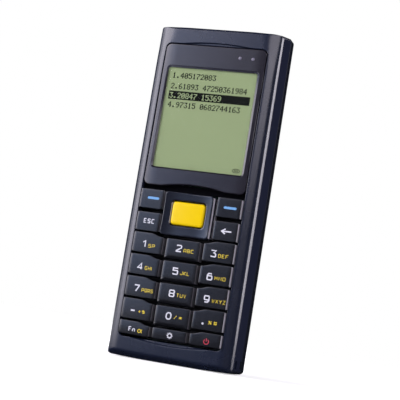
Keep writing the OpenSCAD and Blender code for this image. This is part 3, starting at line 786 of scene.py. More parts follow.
def rear_casing():
    """Rear half: rounded back edges, a fine step at the joint line, a tray inside."""
    joint, wall, r = mm(casing().joint), mm(casing().wall), mm(casing().back_round)
    shape = Mesh()
    # Inset and height, from the joint's inner edge over its step and down the side
    levels = [(wall, joint), (0.35, joint), (0.35, joint - 0.33), (0.12, joint - 0.35),
              (0.03, joint - 0.41), (0, joint - 0.55), (0, joint - 0.8), (0, r + 0.3), (0, r)]
    turn = [math.radians(90 * i / 10) for i in range(1, 11)]
    levels += [(r * (1 - math.cos(a)), r * (1 - math.sin(a))) for a in turn]
    levels.append((r + 0.5, 0))
    # The tray's floor is as thick as the walls, and slopes up to them
    slope_across, slope_top = 1.4, 4.6
    outside = [shape.level(casing_ring(0, inset), z) for inset, z in levels]
    inside = [shape.level(casing_ring(0, wall), slope_top),
              shape.level(casing_ring(0, wall + slope_across), wall)]
    shape.skin(outside)
    shape.bridge(outside[0], inside[0])
    shape.skin(inside)
    shape.cap(outside[-1])
    shape.cap(inside[-1])
    piece = shape.finish("rear_shell", "rear_black")
    # Floor round the door's opening, its thicker lower end and the walls of the battery bay
    blocks = (((-17.5, -65.7, 1), (17.5, -5.4, 3.2)), ((-17.4, -65.6, 1.1), (17.4, -59.9, 5.9)),
              ((-12.6, -59.95, 1.2), (12.6, -7.7, 14.0)))
    post = [(2.9, 1.05), (2.9, joint + 0.6)]
    carve(piece, [tool_piece(Mesh.block, low, high) for low, high in blocks]
          + [tool_piece(Mesh.lathe, x, y, post) for x, y in SCREW_PLACES], "UNION")
    # The battery bay, then the latch's slot and its catch
    hollows = (((-11.4, -58.6, -1.1), (11.4, -9.0, 12.8)), ((-5.2, -11.0, 1.4), (5.2, -7.8, 5.2)),
               ((-4.6, -8.0, 2.2), (4.6, -5.8, 4.4)))
    bore = [(2.35, -1), (2.35, 0.02), (2.1, 0.25), (2.1, 4.0), (1.1, 4.02), (1.1, joint + 1)]
    carve(piece, [*door_opening(), thumb_scoop()]
          + [tool_piece(Mesh.block, low, high) for low, high in hollows]
          + [tool_piece(Mesh.lathe, x, y, bore) for x, y in SCREW_PLACES])
    # A small angle keeps the cut edges crisp in the flat back
    shade(piece, 14)
    # The faces that look to the sides take the rear's black without gloss, painted darker than their
    # reflection would leave them
    paint_sides(piece, "rear_side", 0.97)
    return attach(piece, stands_for=["rear_casing"])


def door_opening():
    """The recess that takes the battery door, with its hinge's channel and pin hole."""
    left, right, low, high = DOOR
    gap, hinge_gap = 0.2, 0.3
    outline = rounded(left - gap, right + gap, low - hinge_gap, high + gap, 0.5, arc=3, across=2,
                      along=2)
    recess = Mesh()
    recess.solid([recess.level(outline, -1), recess.level(outline, 1.55)])
    return [recess.finish("tool"), tool_piece(Mesh.rod, left - gap, right + gap, *HINGE, 2.75),
            tool_piece(Mesh.rod, -16.8, 16.8, *HINGE, 0.78)]


def thumb_scoop():
    """The shape of a thumb, a cap of a ball, beside the battery door's latch."""
    scoop = Mesh()
    radius, depth, y, count = 16.4, 1.0, -4, 12
    rings = []
    for i in range(count):
        a = math.radians(lerp(3, 60, i / (count - 1)))
        outline = circle(0, y, radius * math.sin(a), 64)
        rings.append(scoop.level(outline, radius * math.cos(a) - (radius - depth)))
    scoop.solid(rings)
    return scoop.finish("tool")


def casing_seal():
    """Rubber cord in the joint, led round the strap's hollow."""
    x, low, high, inner_x, shelf = 24.75, -68.35, 71.25, 20.8, -60.4
    corners = [(x, high), (-x, high), (-x, low), (inner_x, low), (inner_x, shelf), (x, shelf)]
    thickness, cut, level = 0.84, 1.0, 9.85
    path = []
    for i, here in enumerate(corners):
        for other in (corners[i - 1], corners[(i + 1) % len(corners)]):
            away = Vector((other[0] - here[0], other[1] - here[1])).normalized() * cut
            path.append((here[0] + away.x, here[1] + away.y))
    line = bpy.data.curves.new("casing_seal_cord", "CURVE")
    line.dimensions = "3D"
    line.bevel_depth = thickness / 2 * MM
    line.bevel_resolution = 3
    spline = line.splines.new("POLY")
    spline.points.add(len(path) - 1)
    for point, (px, py) in zip(spline.points, path):
        point.co = (*place(px, py, level), 1)
    spline.use_cyclic_u = True
    line.materials.append(MATERIALS["seal_rubber"])
    piece = bpy.data.objects.new("casing_seal_cord", line)
    bpy.context.scene.collection.objects.link(piece)
    return attach(piece, stands_for=["casing_seal"])


def battery_door():
    """Door with its grip grooves and the hinge knuckle."""
    shape = Mesh()
    outline = rounded(*DOOR, 0.6, arc=4, across=8, along=12)
    levels = ((0.5, 0), (0.3, 0), (0.1, 0.08), (0, 0.3), (0, 1.3), (0.1, 1.4))
    shape.solid([shape.level(drawn_in(outline, inset), z) for inset, z in levels])
    piece = shape.finish("battery_door_cover", "rear_black")
    carve(piece, [tool_piece(Mesh.rod, -15.0, 15.0, *HINGE, 1.6)], "UNION")
    grooves = [tool_piece(Mesh.rod, -9, 9, -16.0 + 1.6 * i, -0.25, 0.62, 24) for i in range(5)]
    carve(piece, grooves + [tool_piece(Mesh.rod, -17, 17, *HINGE, 0.8)])
    shade(piece, 32)
    return attach(piece, "battery_door", ["battery_door"])


# --- Display -----------------------------------------------------------------------------

PANEL_STEPS = {"arc": 6, "across": 40, "along": 30}
STATUS_PLACES = ((10.9, 58.7), (16.5, 58.7))
WINDOW_BACK = 25.3


def panel_height(x, y):
    """Height of the display panel, which falls away a little towards its long edges."""
    rise, fall, flat_half, fall_over = 0.1, 0.2, 17, 5
    return front(y) + rise - fall * max((abs(x) - flat_half) / fall_over, 0.0) ** 2


def display_panel():
    """Panel round the display: rolled outer edges, a sloped rim round the window."""
    screen = display()
    half, low, high = mm(screen.panel_half), mm(screen.panel_low), mm(screen.panel_high)
    outer = []
    notch_y, notch_r = 3.25, 65
    for x, y in rounded(-half, half, low, high, 2.3, **PANEL_STEPS):
        if y < low + 1.3 and abs(x) < 14:
            y = max(y, notch_y - notch_r + math.sqrt(notch_r ** 2 - x ** 2))
        outer.append((x, y))
    hole = (-mm(screen.window_half), mm(screen.window_half), mm(screen.window_low),
            mm(screen.window_high))
    rim = rounded(*hole, 1.5, **PANEL_STEPS)
    lip = rounded(hole[0] + 0.78, hole[1] - 0.78, hole[2] + 0.6, hole[3] - 0.7, 0.9, **PANEL_STEPS)
    window_top, back_z = 25.68, 24.25
    roll, rim_roll = 0.38, 0.06
    shape = Mesh()
    rings = [shape.level(outer, back_z)]
    shares = [0.0, 0.008, 0.02, 0.04, 0.07, 0.11, 0.16, 0.22, 0.35, 0.5, 0.65, 0.8, 0.9, 0.96,
              0.99, 1.0]
    rings += shape.span(outer, rim, shares, lambda x, y, near, far: panel_height(x, y) - (
        round_over(near, roll, roll) + round_over(far, 2 * rim_roll, rim_roll)))
    for t in (0.5, 1.0):
        rings.append(shape.ring([(lerp(ax, bx, t), lerp(ay, by, t),
                                  lerp(panel_height(ax, ay) - rim_roll, window_top + 0.05, t))
                                 for (ax, ay), (bx, by) in zip(rim, lip)]))
    rings.append(shape.level(lip, window_top))
    rings.append(shape.level(rim, window_top - 0.01))
    back = rounded(-21.1, 21.1, 4.8, 57.4, 0.4, **PANEL_STEPS)
    rings.append(shape.level([(x * 0.999, y) for x, y in rim], WINDOW_BACK + 0.05))
    rings.append(shape.level(back, WINDOW_BACK))
    rings.append(shape.level(back, back_z))
    shape.skin(rings, ring_closed=True)
    piece = shape.finish("display_surround", "panel_grey")
    bore = [(1.2, 20), (1.2, 25.0), (0.78, 25.05), (0.78, 30)]
    carve(piece, [tool_piece(Mesh.lathe, x, y, bore, 24) for x, y in STATUS_PLACES])
    shade(piece, 32)
    return attach(piece, stands_for=["display_panel"])


def status_lenses():
    """Two light pipes with domed ends that show in the panel."""
    for number, (x, y) in enumerate(STATUS_PLACES, 1):
        top = front(y) + 0.1
        shape = Mesh()
        shape.lathe(x, y, [(0.9, 19.35), (1.1, 19.5), (1.1, 24.8), (0.72, 24.9), (0.72, top - 0.1),
                           (0.6, top - 0.02), (0.4, top + 0.04), (0.15, top + 0.07)], 28)
        piece = shape.finish(f"status_lens_{number}", "lens_lilac")
        attach(piece, stands_for=["status_lenses"])


def display_window():
    """Clear window held under the panel's rim."""
    screen = display()
    shape = Mesh()
    outline = rounded(-mm(screen.window_half) + 0.1, mm(screen.window_half) - 0.1,
                      mm(screen.window_low) + 0.1, mm(screen.window_high) - 0.1, 1.4)
    thick, edge = 0.35, 0.05
    rings = [shape.level(outline, z) for z in (WINDOW_BACK, WINDOW_BACK + thick - edge)]
    top = [(x * 0.995, y) for x, y in outline]
    rings.append(shape.level(top, WINDOW_BACK + thick))
    shape.solid(rings)
    piece = shape.finish("display_cover", "clear_window")
    return attach(piece, stands_for=["display_window"])


# Dots of the display's figures, in rows from the top, a bit for each of five dots
DOT_FIGURES = {
    "0": (14, 17, 19, 21, 25, 17, 14), "1": (4, 12, 4, 4, 4, 4, 14),
    "2": (14, 17, 1, 2, 4, 8, 31), "3": (31, 2, 4, 2, 1, 17, 14),
    "4": (2, 6, 10, 18, 31, 2, 2), "5": (31, 16, 30, 1, 1, 17, 14),
    "6": (6, 8, 16, 30, 17, 17, 14), "7": (31, 1, 2, 4, 8, 8, 8),
    "8": (14, 17, 17, 14, 17, 17, 14), "9": (14, 17, 17, 15, 1, 2, 12),
    ".": (0, 0, 0, 0, 0, 12, 12),
}
DISPLAY_FACE = 25.2
INK_RISE = 0.015


def display_glass():
    """The display itself: a green face with black dots for figures and one marked row."""
    shape = Mesh()
    outline = rounded(-20.9, 20.9, 5.0, 57.2, 0.5)
    rings = [shape.level(outline, z) for z in (23.42, DISPLAY_FACE - 0.05)]
    rings.append(shape.level([(x * 0.997, y) for x, y in outline], DISPLAY_FACE))
    shape.solid(rings)
    piece = shape.finish("display_cell", "display_green")
    attach(piece, stands_for=["lcd_glass"])
    left, pitch = -17.47, 1.78
    bar = Mesh()
    bar.block((-17.92, 38.98, DISPLAY_FACE - 0.01), (17.83, 42.62, DISPLAY_FACE + 0.02))
    attach(bar.finish("display_marked_row", "display_ink"))
    # The third row stands in green on the marked bar, so it rises above it
    rows = (("1.405172083", 49.4, "display_ink", INK_RISE),
            ("2.61893 47250361984", 44.75, "display_ink", INK_RISE),
            ("3.20847 15369", 40.72, "display_green", 0.04),
            ("4.97315 0682744163", 36.7, "display_ink", INK_RISE))
    for number, (line, y, ink, rise) in enumerate(rows, 1):
        dots = Mesh()
        for i, sign in enumerate(line):
            if sign != " ":
                dot_figure(dots, sign, left + pitch * i, y, rise)
        attach(dots.finish(f"display_row_{number}", ink))
    display_sign()


def dot_figure(shape, sign, x, y, rise):
    """One figure of square dots, each row's neighbours joined in one bar."""
    step_x, step_y, spill = 0.28, 0.345, 0.08
    for row, bits in enumerate(DOT_FIGURES[sign]):
        top = y + (3 - row) * step_y + step_y / 2
        run = None
        for column in range(6):
            lit = column < 5 and bits >> (4 - column) & 1
            if lit and run is None:
                run = column
            if not lit and run is not None:
                shape.block((x + run * step_x - spill, top - step_y + 0.01, DISPLAY_FACE - 0.01),
                            (x + column * step_x + spill, top, DISPLAY_FACE + rise))
                run = None


def display_sign():
    """A small oval with three bars in the display's lower right corner."""
    shape = Mesh()
    x, y, half_w, half_h, line = 16.6, 11.4, 1.7, 0.9, 0.26
    outer = oval(x, y, half_w, half_h, 36)
    inner = oval(x, y, half_w - line, half_h - line, 36)
    low, high = DISPLAY_FACE - 0.01, DISPLAY_FACE + INK_RISE
    shape.skin([shape.level(outer, low), shape.level(outer, high), shape.level(inner, high),
                shape.level(inner, low)], ring_closed=True)
    for bar in (x - 0.62, x, x + 0.62):
        shape.block((bar - 0.17, y - 0.42, low), (bar + 0.17, y + 0.42, high))
    attach(shape.finish("display_sign", "display_ink"))


# --- Keys --------------------------------------------------------------------------------

KEY_BASE = 22.4
# Outer and inner edges of the outer columns, the middle keys' half width, and the inner
# edges of the keys beside the pad
OUTER_X, GAP_X, MIDDLE_X, COMMAND_X = 21.6, 9.15, 7.0, 12.0
# How far a key's base reaches out beside its top
SIDE_SLOPE = 0.4
# Upper edge of the first row of number keys, and the last row's depth
FIRST_ROW = -18.4
LAST_DEPTH = 5.85
# Lower and upper edges of the soft keys, and of the keys below them
SOFT_ROW, ESCAPE_ROW = (-8.55, -0.15), (-18.05, -9.85)


def key_rows(row):
    """Lower and upper edge of a row of number keys."""
    high = FIRST_ROW - mm(keys().pitch) * row
    return high - (LAST_DEPTH if row == 4 else mm(keys().depth)), high


def key_span(name):
    """The key's left, right, lower and upper edges."""
    for key, column, row in NUMBER_KEYS:
        if key == name:
            low, high = key_rows(row)
            if column == 0:
                return -MIDDLE_X, MIDDLE_X, low, high
            return (GAP_X, OUTER_X, low, high) if column > 0 else (-OUTER_X, -GAP_X, low, high)
    spans = {"key_soft_left": (-OUTER_X, -COMMAND_X, *SOFT_ROW),
             "key_soft_right": (COMMAND_X, OUTER_X, *SOFT_ROW),
             "key_escape": (-OUTER_X, -COMMAND_X, *ESCAPE_ROW),
             "key_back": (COMMAND_X, OUTER_X, *ESCAPE_ROW)}
    return spans[name]


def upper_edge(x, high):
    """A number key's upper edge, which steps down towards the middle of the keypad."""
    if high > FIRST_ROW + 0.1:
        return high
    bend_x, bend_over = 14.5, 5
    return high - mm(keys().bend) * ease((bend_x - abs(x)) / bend_over)


def key_foot(name):
    """How far the key's base reaches out below its span: the middle keys have a foot."""
    stepped = {key for key, column, row in NUMBER_KEYS if column == 0 and row < 4}
    return mm(keys().foot) if name in stepped else 0.0


def key_top(name, y):
    """Height of a key's top, a little rounded along the casing."""
    _, _, y0, y1 = key_span(name)
    middle, half, fall = (y0 + y1) / 2, (y1 - y0) / 2, 0.12
    return front(middle) + mm(keys().rise) - fall * ((y - middle) / half) ** 2


def key_outline(name):
    """Plan of a key: small corner radii, and the bend in its upper edge."""
    x0, x1, y0, y1 = key_span(name)
    x0, x1, y0 = x0 - SIDE_SLOPE, x1 + SIDE_SLOPE, y0 - key_foot(name)
    bent = []
    for x, y in rounded(x0, x1, y0, y1, 0.55, arc=5, across=26, along=8):
        near_top = ease((y - (y0 + y1) / 2) / ((y1 - y0) / 2))
        bent.append((x, y + (upper_edge(x, y1) - y1) * near_top))
    return bent


def key_cap(name):
    """One key: steep sides, a longer slope below, rolled edges and a slightly rounded top."""
    outline = key_outline(name)
    sides = normals_of(outline)
    x0, x1, y0, y1 = key_span(name)
    middle = ((x0 + x1) / 2, (y0 + min(upper_edge(x0, y1), upper_edge(x1, y1))) / 2)
    slope = 0.3 + key_foot(name)
    shape = Mesh()
    rings = [shape.level(outline, KEY_BASE)]
    # How far in from the sides, from the upper edge and down the lower slope, and the depth
    edge = []
    for across, above, below, drop in (
            (0, 0, 0, 1.9), (0.01, 0, 0.02, 1.5), (0.02, 0.01, 0.08, 1.15), (0.03, 0.02, 0.2, 0.85),
            (0.045, 0.035, 0.36, 0.6), (0.07, 0.06, 0.54, 0.38), (0.12, 0.1, 0.72, 0.2),
            (0.21, 0.17, 0.87, 0.085), (0.36, 0.26, 0.97, 0.025), (0.6, 0.4, 1.08, 0)):
        edge = []
        for (x, y), (nx, ny) in zip(outline, sides):
            roll = across if nx > 0 else across * 0.5
            edge.append((x - nx * roll, y - ny * (above if ny > 0 else below * slope)))
        rings.append(shape.level(edge, lambda x, y: key_top(name, y) - drop))
    for share in (0.15, 0.35, 0.6, 0.85):
        rings.append(shape.level(drawn_to(edge, middle, share), lambda x, y: key_top(name, y)))
    shape.skin(rings)
    shape.cap(rings[0])
    shape.dome(rings[-1], (*middle, key_top(name, middle[1])))
    piece = shape.finish(f"{name}_cap", "key_black")
    # Painted highlights: the sides are paler than the top, the outer keys' right sides paler still
    right = "key_edge" if x1 == OUTER_X else "key_side"
    paint_sides(piece, "key_side", 0.9, right)
    return attach(piece, name, [name])


def key_nub():
    """The small bump that a finger finds on the middle key."""
    _, high = key_rows(1)
    x, y = 0.05, high - 4.3
    top = key_top("key_5", y)
    shape = Mesh()
    profile = [(0.5, -0.05), (0.42, 0.08), (0.34, 0.2), (0.22, 0.29), (0.08, 0.33)]
    shape.lathe(x, y, [(r, top + z) for r, z in profile], 20)
    attach(shape.finish("key_5_nub", "key_black"), "key_5")


PAD_Y, PAD_HALF_W, PAD_HALF_L, PAD_SKIRT = -9.5, 10.25, 9.0, 0.7
SCAN_Y, SCAN_HALF_W, SCAN_HALF_L = -9.1, 7.0, 4.8
PAD_RIM = 28.6
# The dish's rise at 10 mm to the side, its radius along the casing, and its depth
DISH_ACROSS, DISH_ALONG, DISH_DEPTH = 0.3, 90.0, 0.8
PAD_STEPS = {"arc": 7, "across": 20, "along": 18}


def dish(x, y):
    """Height of the four-way pad's dished top, nearly flat between its left and right rims."""
    bowl = PAD_RIM - DISH_DEPTH + DISH_ACROSS * (x / 10) ** 4 + (y - PAD_Y) ** 2 / (2 * DISH_ALONG)
    return soft_min(bowl, PAD_RIM, 0.2)


def four_way_pad():
    """Dished pad with a rolled rim, open in the middle for the scan key."""
    low, high = PAD_Y - PAD_HALF_L, PAD_Y + PAD_HALF_L
    gap, left_extra = 0.45, 0.45
    outer = rounded(-PAD_HALF_W - left_extra, PAD_HALF_W, low, high, 1.2, **PAD_STEPS)
    inner = rounded(-SCAN_HALF_W - gap, SCAN_HALF_W + gap, SCAN_Y - SCAN_HALF_L - gap,
                    SCAN_Y + SCAN_HALF_L + gap, 1.5, **PAD_STEPS)
    skirt = rounded(-PAD_HALF_W - PAD_SKIRT, PAD_HALF_W + PAD_SKIRT, low, high, 1.2, **PAD_STEPS)
    shape = Mesh()
    base = 23.15
    rings = [shape.level(inner, base)]
    for share, z in ((1, base), (1, 25.4), (0.9, 25.75), (0.65, 26.0), (0.3, 26.15), (0.1, 26.35),
                     (0.02, 26.8)):
        flared = [(lerp(ax, bx, share), ay) for (ax, ay), (bx, _) in zip(outer, skirt)]
        rings.append(shape.level(flared, z))

    def height(x, y, near, far):
        drop = round_over(near, 0.8 if x > 0 else 0.35, 0.5)
        drop += round_over(far, 0.35, 0.3)
        return dish(x, y) - drop

    shares = (0, 0.015, 0.04, 0.07, 0.11, 0.16, 0.24, 0.34, 0.46, 0.58, 0.7, 0.8, 0.88, 0.94,
              0.98, 1)
    rings += shape.span(outer, inner, shares, height)
    shape.skin(rings, ring_closed=True)
    piece = shape.finish("four_way_pad", "pad_black")
    # Painted highlights on the pad's sides, palest on its right side
    paint_sides(piece, "key_side", 0.9, "key_edge")
    return attach(piece, "nav_pad", ["nav_pad"])


def scan_key():
    """Yellow scan key: a smooth pillow with soft edges, on a stem."""
    outline = rounded(-SCAN_HALF_W, SCAN_HALF_W, SCAN_Y - SCAN_HALF_L, SCAN_Y + SCAN_HALF_L, 1.3,
                      arc=7, across=16, along=12)
    top = front(SCAN_Y) + 2.2
    fall_across, fall_along = 0.16, 0.1

    def height(x, y):
        across, along = x / SCAN_HALF_W, (y - SCAN_Y) / SCAN_HALF_L
        return top - fall_across * across ** 2 - fall_along * along ** 2

    shape = Mesh()
    rings = [shape.level(outline, 24.4), shape.level(outline, 26.4)]
    edge = []
    for inset, drop in ((0.0, 1.0), (0.03, 0.75), (0.1, 0.5), (0.22, 0.3), (0.38, 0.15),
                        (0.58, 0.055), (0.8, 0.01), (1.05, 0)):
        edge = drawn_in(outline, inset)
        rings.append(shape.level(edge, lambda x, y: height(x, y) - drop))
    for share in (0.2, 0.45, 0.7, 0.9):
        rings.append(shape.level(drawn_to(edge, (0, SCAN_Y), share), height))
    shape.skin(rings)
    shape.cap(rings[0])
    shape.dome(rings[-1], (0, SCAN_Y, height(0, SCAN_Y)))
    piece = shape.finish("scan_button", "scan_yellow")
    stem = tool_piece(Mesh.block, (-3.6, SCAN_Y - 2.6, KEY_BASE), (3.6, SCAN_Y + 2.6, 24.6))
    carve(piece, [stem], "UNION")
    shade(piece, 32)
    return attach(piece, "key_scan", ["key_scan"])


def keypad_mat():
    """Rubber sheet with a dome under each key, and four posts under the four-way pad."""
    shape = Mesh()
    outline = rounded(-22, 22, -61.5, -0.3, 1.2)
    under, top = 18.22, 19.2
    rings = [shape.level(outline, under), shape.level(outline, top - 0.1)]
    rings.append(shape.level([(x * 0.996, y) for x, y in outline], top))
    shape.solid(rings)
    sunk = top - 0.05
    profile = [(3.1, sunk), (3.0, 19.4), (2.6, 20.0), (2.45, 21.2), (2.2, 22.2), (2.0, 22.38)]
    places = [(column * 15.2, sum(key_rows(row)) / 2 - 0.4) for _, column, row in NUMBER_KEYS]
    for name in COMMAND_KEYS:
        x0, x1, y0, y1 = key_span(name)
        places.append(((x0 + x1) / 2, (y0 + y1) / 2))
    places.append((0, SCAN_Y))
    for x, y in places:
        shape.lathe(x, y, profile, 24)
    across, along = 8.4, 7.2
    for x, y in ((across, PAD_Y), (-across, PAD_Y), (0, PAD_Y + along), (0, PAD_Y - along)):
        shape.lathe(x, y, [(1.0, sunk), (0.9, 19.6), (0.75, 19.98)], 20)
    piece = shape.finish("keypad_domes", "mat_rubber")
    return attach(piece, stands_for=["keypad_mat"])


# --- Print on the keys -------------------------------------------------------------------

# Strokes of each sign on a grid of 8 by 8: pairs of a column and a row, a stroke ends at /
STROKES = {
    "0": "20 60 82 86 68 28 06 02 20", "1": "06 38 30", "2": "07 18 78 87 85 01 00 80",
    "3": "08 88 45 65 83 81 70 10 01", "4": "60 68 02 82",
    "5": "88 08 05 75 84 81 70 10 01", "6": "78 28 06 01 10 70 81 84 75 05", "7": "08 88 87 30",
    "8": "14 05 07 18 78 87 85 74 14 / 14 03 01 10 70 81 83 74",
    "9": "10 60 82 87 78 18 07 04 13 83", "A": "00 06 28 68 86 80 / 03 83",
    "B": "00 08 68 87 85 74 04 / 74 83 81 70 00", "C": "88 18 07 01 10 80",
    "D": "00 08 68 86 82 60 00", "E": "88 08 00 80 / 04 64", "F": "88 08 00 / 04 64",
    "G": "88 18 07 01 10 80 84 44", "H": "08 00 / 88 80 / 04 84", "I": "08 00",
    "J": "88 81 70 10 01 02", "K": "08 00 / 88 04 80", "L": "08 00 80",
    "M": "00 08 43 88 80", "N": "00 08 80 88", "O": "10 70 81 87 78 18 07 01 10",
    "P": "00 08 78 87 84 73 03", "Q": "10 70 81 87 78 18 07 01 10 / 53 80",
    "R": "00 08 78 87 84 73 03 / 43 80", "S": "87 78 18 07 05 14 74 83 81 70 10 01",
    "T": "08 88 / 48 40", "U": "08 01 10 70 81 88", "V": "08 40 88", "W": "08 20 46 60 88",
    "X": "08 80 / 88 00", "Y": "08 44 88 / 44 40", "Z": "08 88 00 80", "n": "00 05 / 03 25 55 64 60",
    "a": "86 51 20 02 04 26 55 80", "+": "41 47 / 14 74", "$": "86 17 06 05 74 83 82 71 02 / 48 40",
    "/": "00 88", "*": "41 47 / 12 76 / 16 72", "%": "00 88 / 17 37 35 15 17 / 53 73 71 51 53",
    "#": "20 28 / 60 68 / 02 82 / 06 86", "-": "14 74", "<": "04 84 / 38 04 30", "_": "04 84",
}
# Widths of the narrow signs as a share of the others'
NARROW = {"1": 0.45, "I": 0.12, "/": 0.7}
# How far the figures and letters are moved across and along the casing
PRINT_SHIFT = (0.25, -0.2)

# Print on each key: signs, middle across, middle along, height, width, colour
PRINT = {
    "key_soft_left": (("_", -16.35, -3.86, 1.05, 5.1, "blue"),),
    "key_soft_right": (("_", 17.1, -4.16, 1.05, 5.5, "blue"),),
    "key_escape": (("ESC", -16.6, -13.56, 1.95, 4.7, "white"),),
    "key_back": (("<", 17.1, -13.8, 2.6, 4.6, "white"),),
    "key_1": (("1", -17.1, -23.16, 3.0, 1.5, "white"), ("SP", -13.75, -23.76, 1.5, 2.9, "yellow")),
    "key_2": (("2", -1.75, -23.16, 3.0, 2.5, "white"), ("ABC", 2.5, -23.81, 1.5, 4.4, "yellow")),
    "key_3": (("3", 13.15, -23.31, 3.0, 2.5, "white"), ("DEF", 17.4, -23.96, 1.5, 4.25, "yellow")),
    "key_4": (("4", -17.25, -32.56, 3.0, 2.5, "white"), ("GHI", -13.5, -33.01, 1.5, 3.1, "yellow")),
    "key_5": (("5", -1.75, -32.56, 3.0, 2.5, "white"), ("JKL", 2.4, -33.01, 1.5, 3.9, "yellow")),
    "key_6": (("6", 13.05, -32.76, 3.0, 2.5, "white"), ("MNO", 17.5, -33.06, 1.5, 4.6, "yellow")),
    "key_7": (("7", -17.2, -41.66, 3.0, 2.5, "white"), ("PQRS", -12.45, -42.16, 1.5, 4.9, "yellow")),
    "key_8": (("8", -1.75, -41.66, 3.0, 2.5, "white"), ("TUV", 2.4, -42.16, 1.5, 4.1, "yellow")),
    "key_9": (("9", 13.25, -41.81, 3.0, 2.5, "white"), ("WXYZ", 18.4, -42.26, 1.5, 5.8, "yellow")),
    "key_minus": (("-", -17.45, -50.9, 2.6, 2.6, "white"), ("+$", -13.5, -51.0, 1.6, 3.0, "yellow")),
    "key_0": (("0", -1.6, -50.9, 3.0, 2.5, "white"), ("/*", 2.5, -51.06, 1.6, 3.6, "yellow")),
    "key_point": (("%#", 17.3, -51.0, 1.6, 3.8, "yellow"),),
    "key_function": (("Fn", -16.45, -58.51, 2.0, 2.9, "white"),
                     ("a", -12.85, -58.6, 2.1, 2.1, "yellow")),
}
PRINT_RISE, PRINT_SINK = 0.025, -0.06
# Width of the strokes as a share of a sign's height, by tint and for single signs, and the
# gap between two letters as a share of a letter's width
PRINT_WEIGHTS = {"white": 0.17, "yellow": 0.125, "_": 0.95, "-": 0.25, "<": 0.21}
LETTER_GAP = 0.42


def strokes_of(sign):
    """The strokes of a sign as lists of points from 0 to 1."""
    return [[(int(pair[0]) / 8, int(pair[1]) / 8) for pair in stroke.split()]
            for stroke in STROKES[sign].split("/")]


def ribbon(shape, path, width, name):
    """A flat band along a path of (x, y), laid on a key's top."""
    closed = path[0] == path[-1] and len(path) > 3
    points = path[:-1] if closed else path
    count = len(points)
    left, right = [], []
    for i, (x, y) in enumerate(points):
        before = points[i - 1] if closed or i else None
        after = points[(i + 1) % count] if closed or i < count - 1 else None
        lines = []
        for a, b in ((before, (x, y)), ((x, y), after)):
            if a and b:
                d = math.hypot(b[0] - a[0], b[1] - a[1])
                lines.append((-(b[1] - a[1]) / d, (b[0] - a[0]) / d))
        nx, ny = sum(n[0] for n in lines), sum(n[1] for n in lines)
        size = math.hypot(nx, ny)
        nx, ny = nx / size, ny / size
        stretch = min(1 / max(nx * lines[0][0] + ny * lines[0][1], 0.4), 1.6) * width / 2
        left.append((x + nx * stretch, y + ny * stretch))
        right.append((x - nx * stretch, y - ny * stretch))
    levels = []
    for side, lift in ((left, PRINT_SINK), (left, PRINT_RISE), (right, PRINT_RISE),
                       (right, PRINT_SINK)):
        levels.append(shape.ring([(x, y, key_top(name, y) + lift) for x, y in side]))
    spans = count if closed else count - 1
    for a, b in zip(levels, levels[1:] + levels[:1]):
        for i in range(spans):
            j = (i + 1) % count
            shape.bm.faces.new((a[i], a[j], b[j], b[i]))
    if not closed:
        for i in (0, -1):
            shape.bm.faces.new([level[i] for level in levels])


def dot(shape, x, y, r, name):
    """A round spot of print on a key."""
    top = key_top(name, y)
    shape.lathe(x, y, [(r, top + PRINT_SINK), (r, top + PRINT_RISE)], 16)


def write(shape, signs, x, y, high, wide, name, weight):
    """Writes signs as ribbons on a key, centred, within the given height and width."""
    line = high * weight
    widths = [NARROW.get(sign, 1.0) for sign in signs]
    gap = LETTER_GAP if len(signs) > 1 else 0.0
    unit = (wide - line * len(signs)) / (sum(widths) + gap * (len(signs) - 1))
    at = x - wide / 2 + line / 2
    for sign, share in zip(signs, widths):
        # A sign drawn on part of the grid's width takes the width that its strokes need
        reach = max(px for stroke in strokes_of(sign) for px, _ in stroke) or 1.0
        for stroke in strokes_of(sign):
            path = [(at + px / reach * unit * share, y + (py - 0.5) * (high - line))
                    for px, py in stroke]
            ribbon(shape, path, line, name)
        at += unit * (share + gap) + line
    return line


def key_prints():
    """White, yellow and blue print on the keys."""
    for name, words in PRINT.items():
        for tint in ("white", "yellow", "blue"):
            shape = Mesh()
            drawn = False
            for signs, x, y, high, wide, ink in words:
                if ink == tint:
                    weight = PRINT_WEIGHTS.get(signs) or PRINT_WEIGHTS[ink]
                    x, y = x + PRINT_SHIFT[0], y + PRINT_SHIFT[1]
                    line = write(shape, signs, x, y, high, wide, name, weight)
                    if signs == "_":
                        for side in (-1, 1):
                            dot(shape, x + side * (wide - line) / 2, y, line / 2, name)
                    drawn = True
            if drawn:
                piece = shape.finish(f"{name}_print_{tint}", f"print_{tint}")
                attach(piece, name)
            else:
                shape.bm.free()
    backlight_sign()
    power_sign()
    point = Mesh()
    dot(point, 13.4, -51.95, 0.45, "key_point")
    attach(point.finish("key_point_print_dot", "print_white"), "key_point")


def backlight_sign():
    """A ring with eight short rays, for the backlight."""
    x, y, r, line = 0.4, -58.9, 0.8, 0.36
    name = "key_backlight"
    shape = Mesh()
    ring = circle(x, y, r, 28)
    ribbon(shape, ring + ring[:1], line, name)
    for a in turns(8):
        ray = [(x + reach * math.cos(a), y + reach * math.sin(a)) for reach in (r + 0.1, r + 0.5)]
        ribbon(shape, ray, line, name)
    piece = shape.finish("key_backlight_print_white", "print_white")
    attach(piece, "key_backlight")


def power_sign():
    """An open ring with a bar through its gap, for switching on and off."""
    x, y, r, line = 16.05, -58.9, 1.0, 0.36
    name = "key_power"
    shape = Mesh()
    steps = [math.radians(lerp(130, 410, i / 24)) for i in range(25)]
    ribbon(shape, [(x + r * math.cos(a), y + r * math.sin(a)) for a in steps], line, name)
    ribbon(shape, [(x, y + 0.1), (x, y + 1.35)], line, name)
    piece = shape.finish("key_power_print_red", "print_red")
    attach(piece, "key_power")


# --- Finishes of the nodes that keep their shape -----------------------------------------

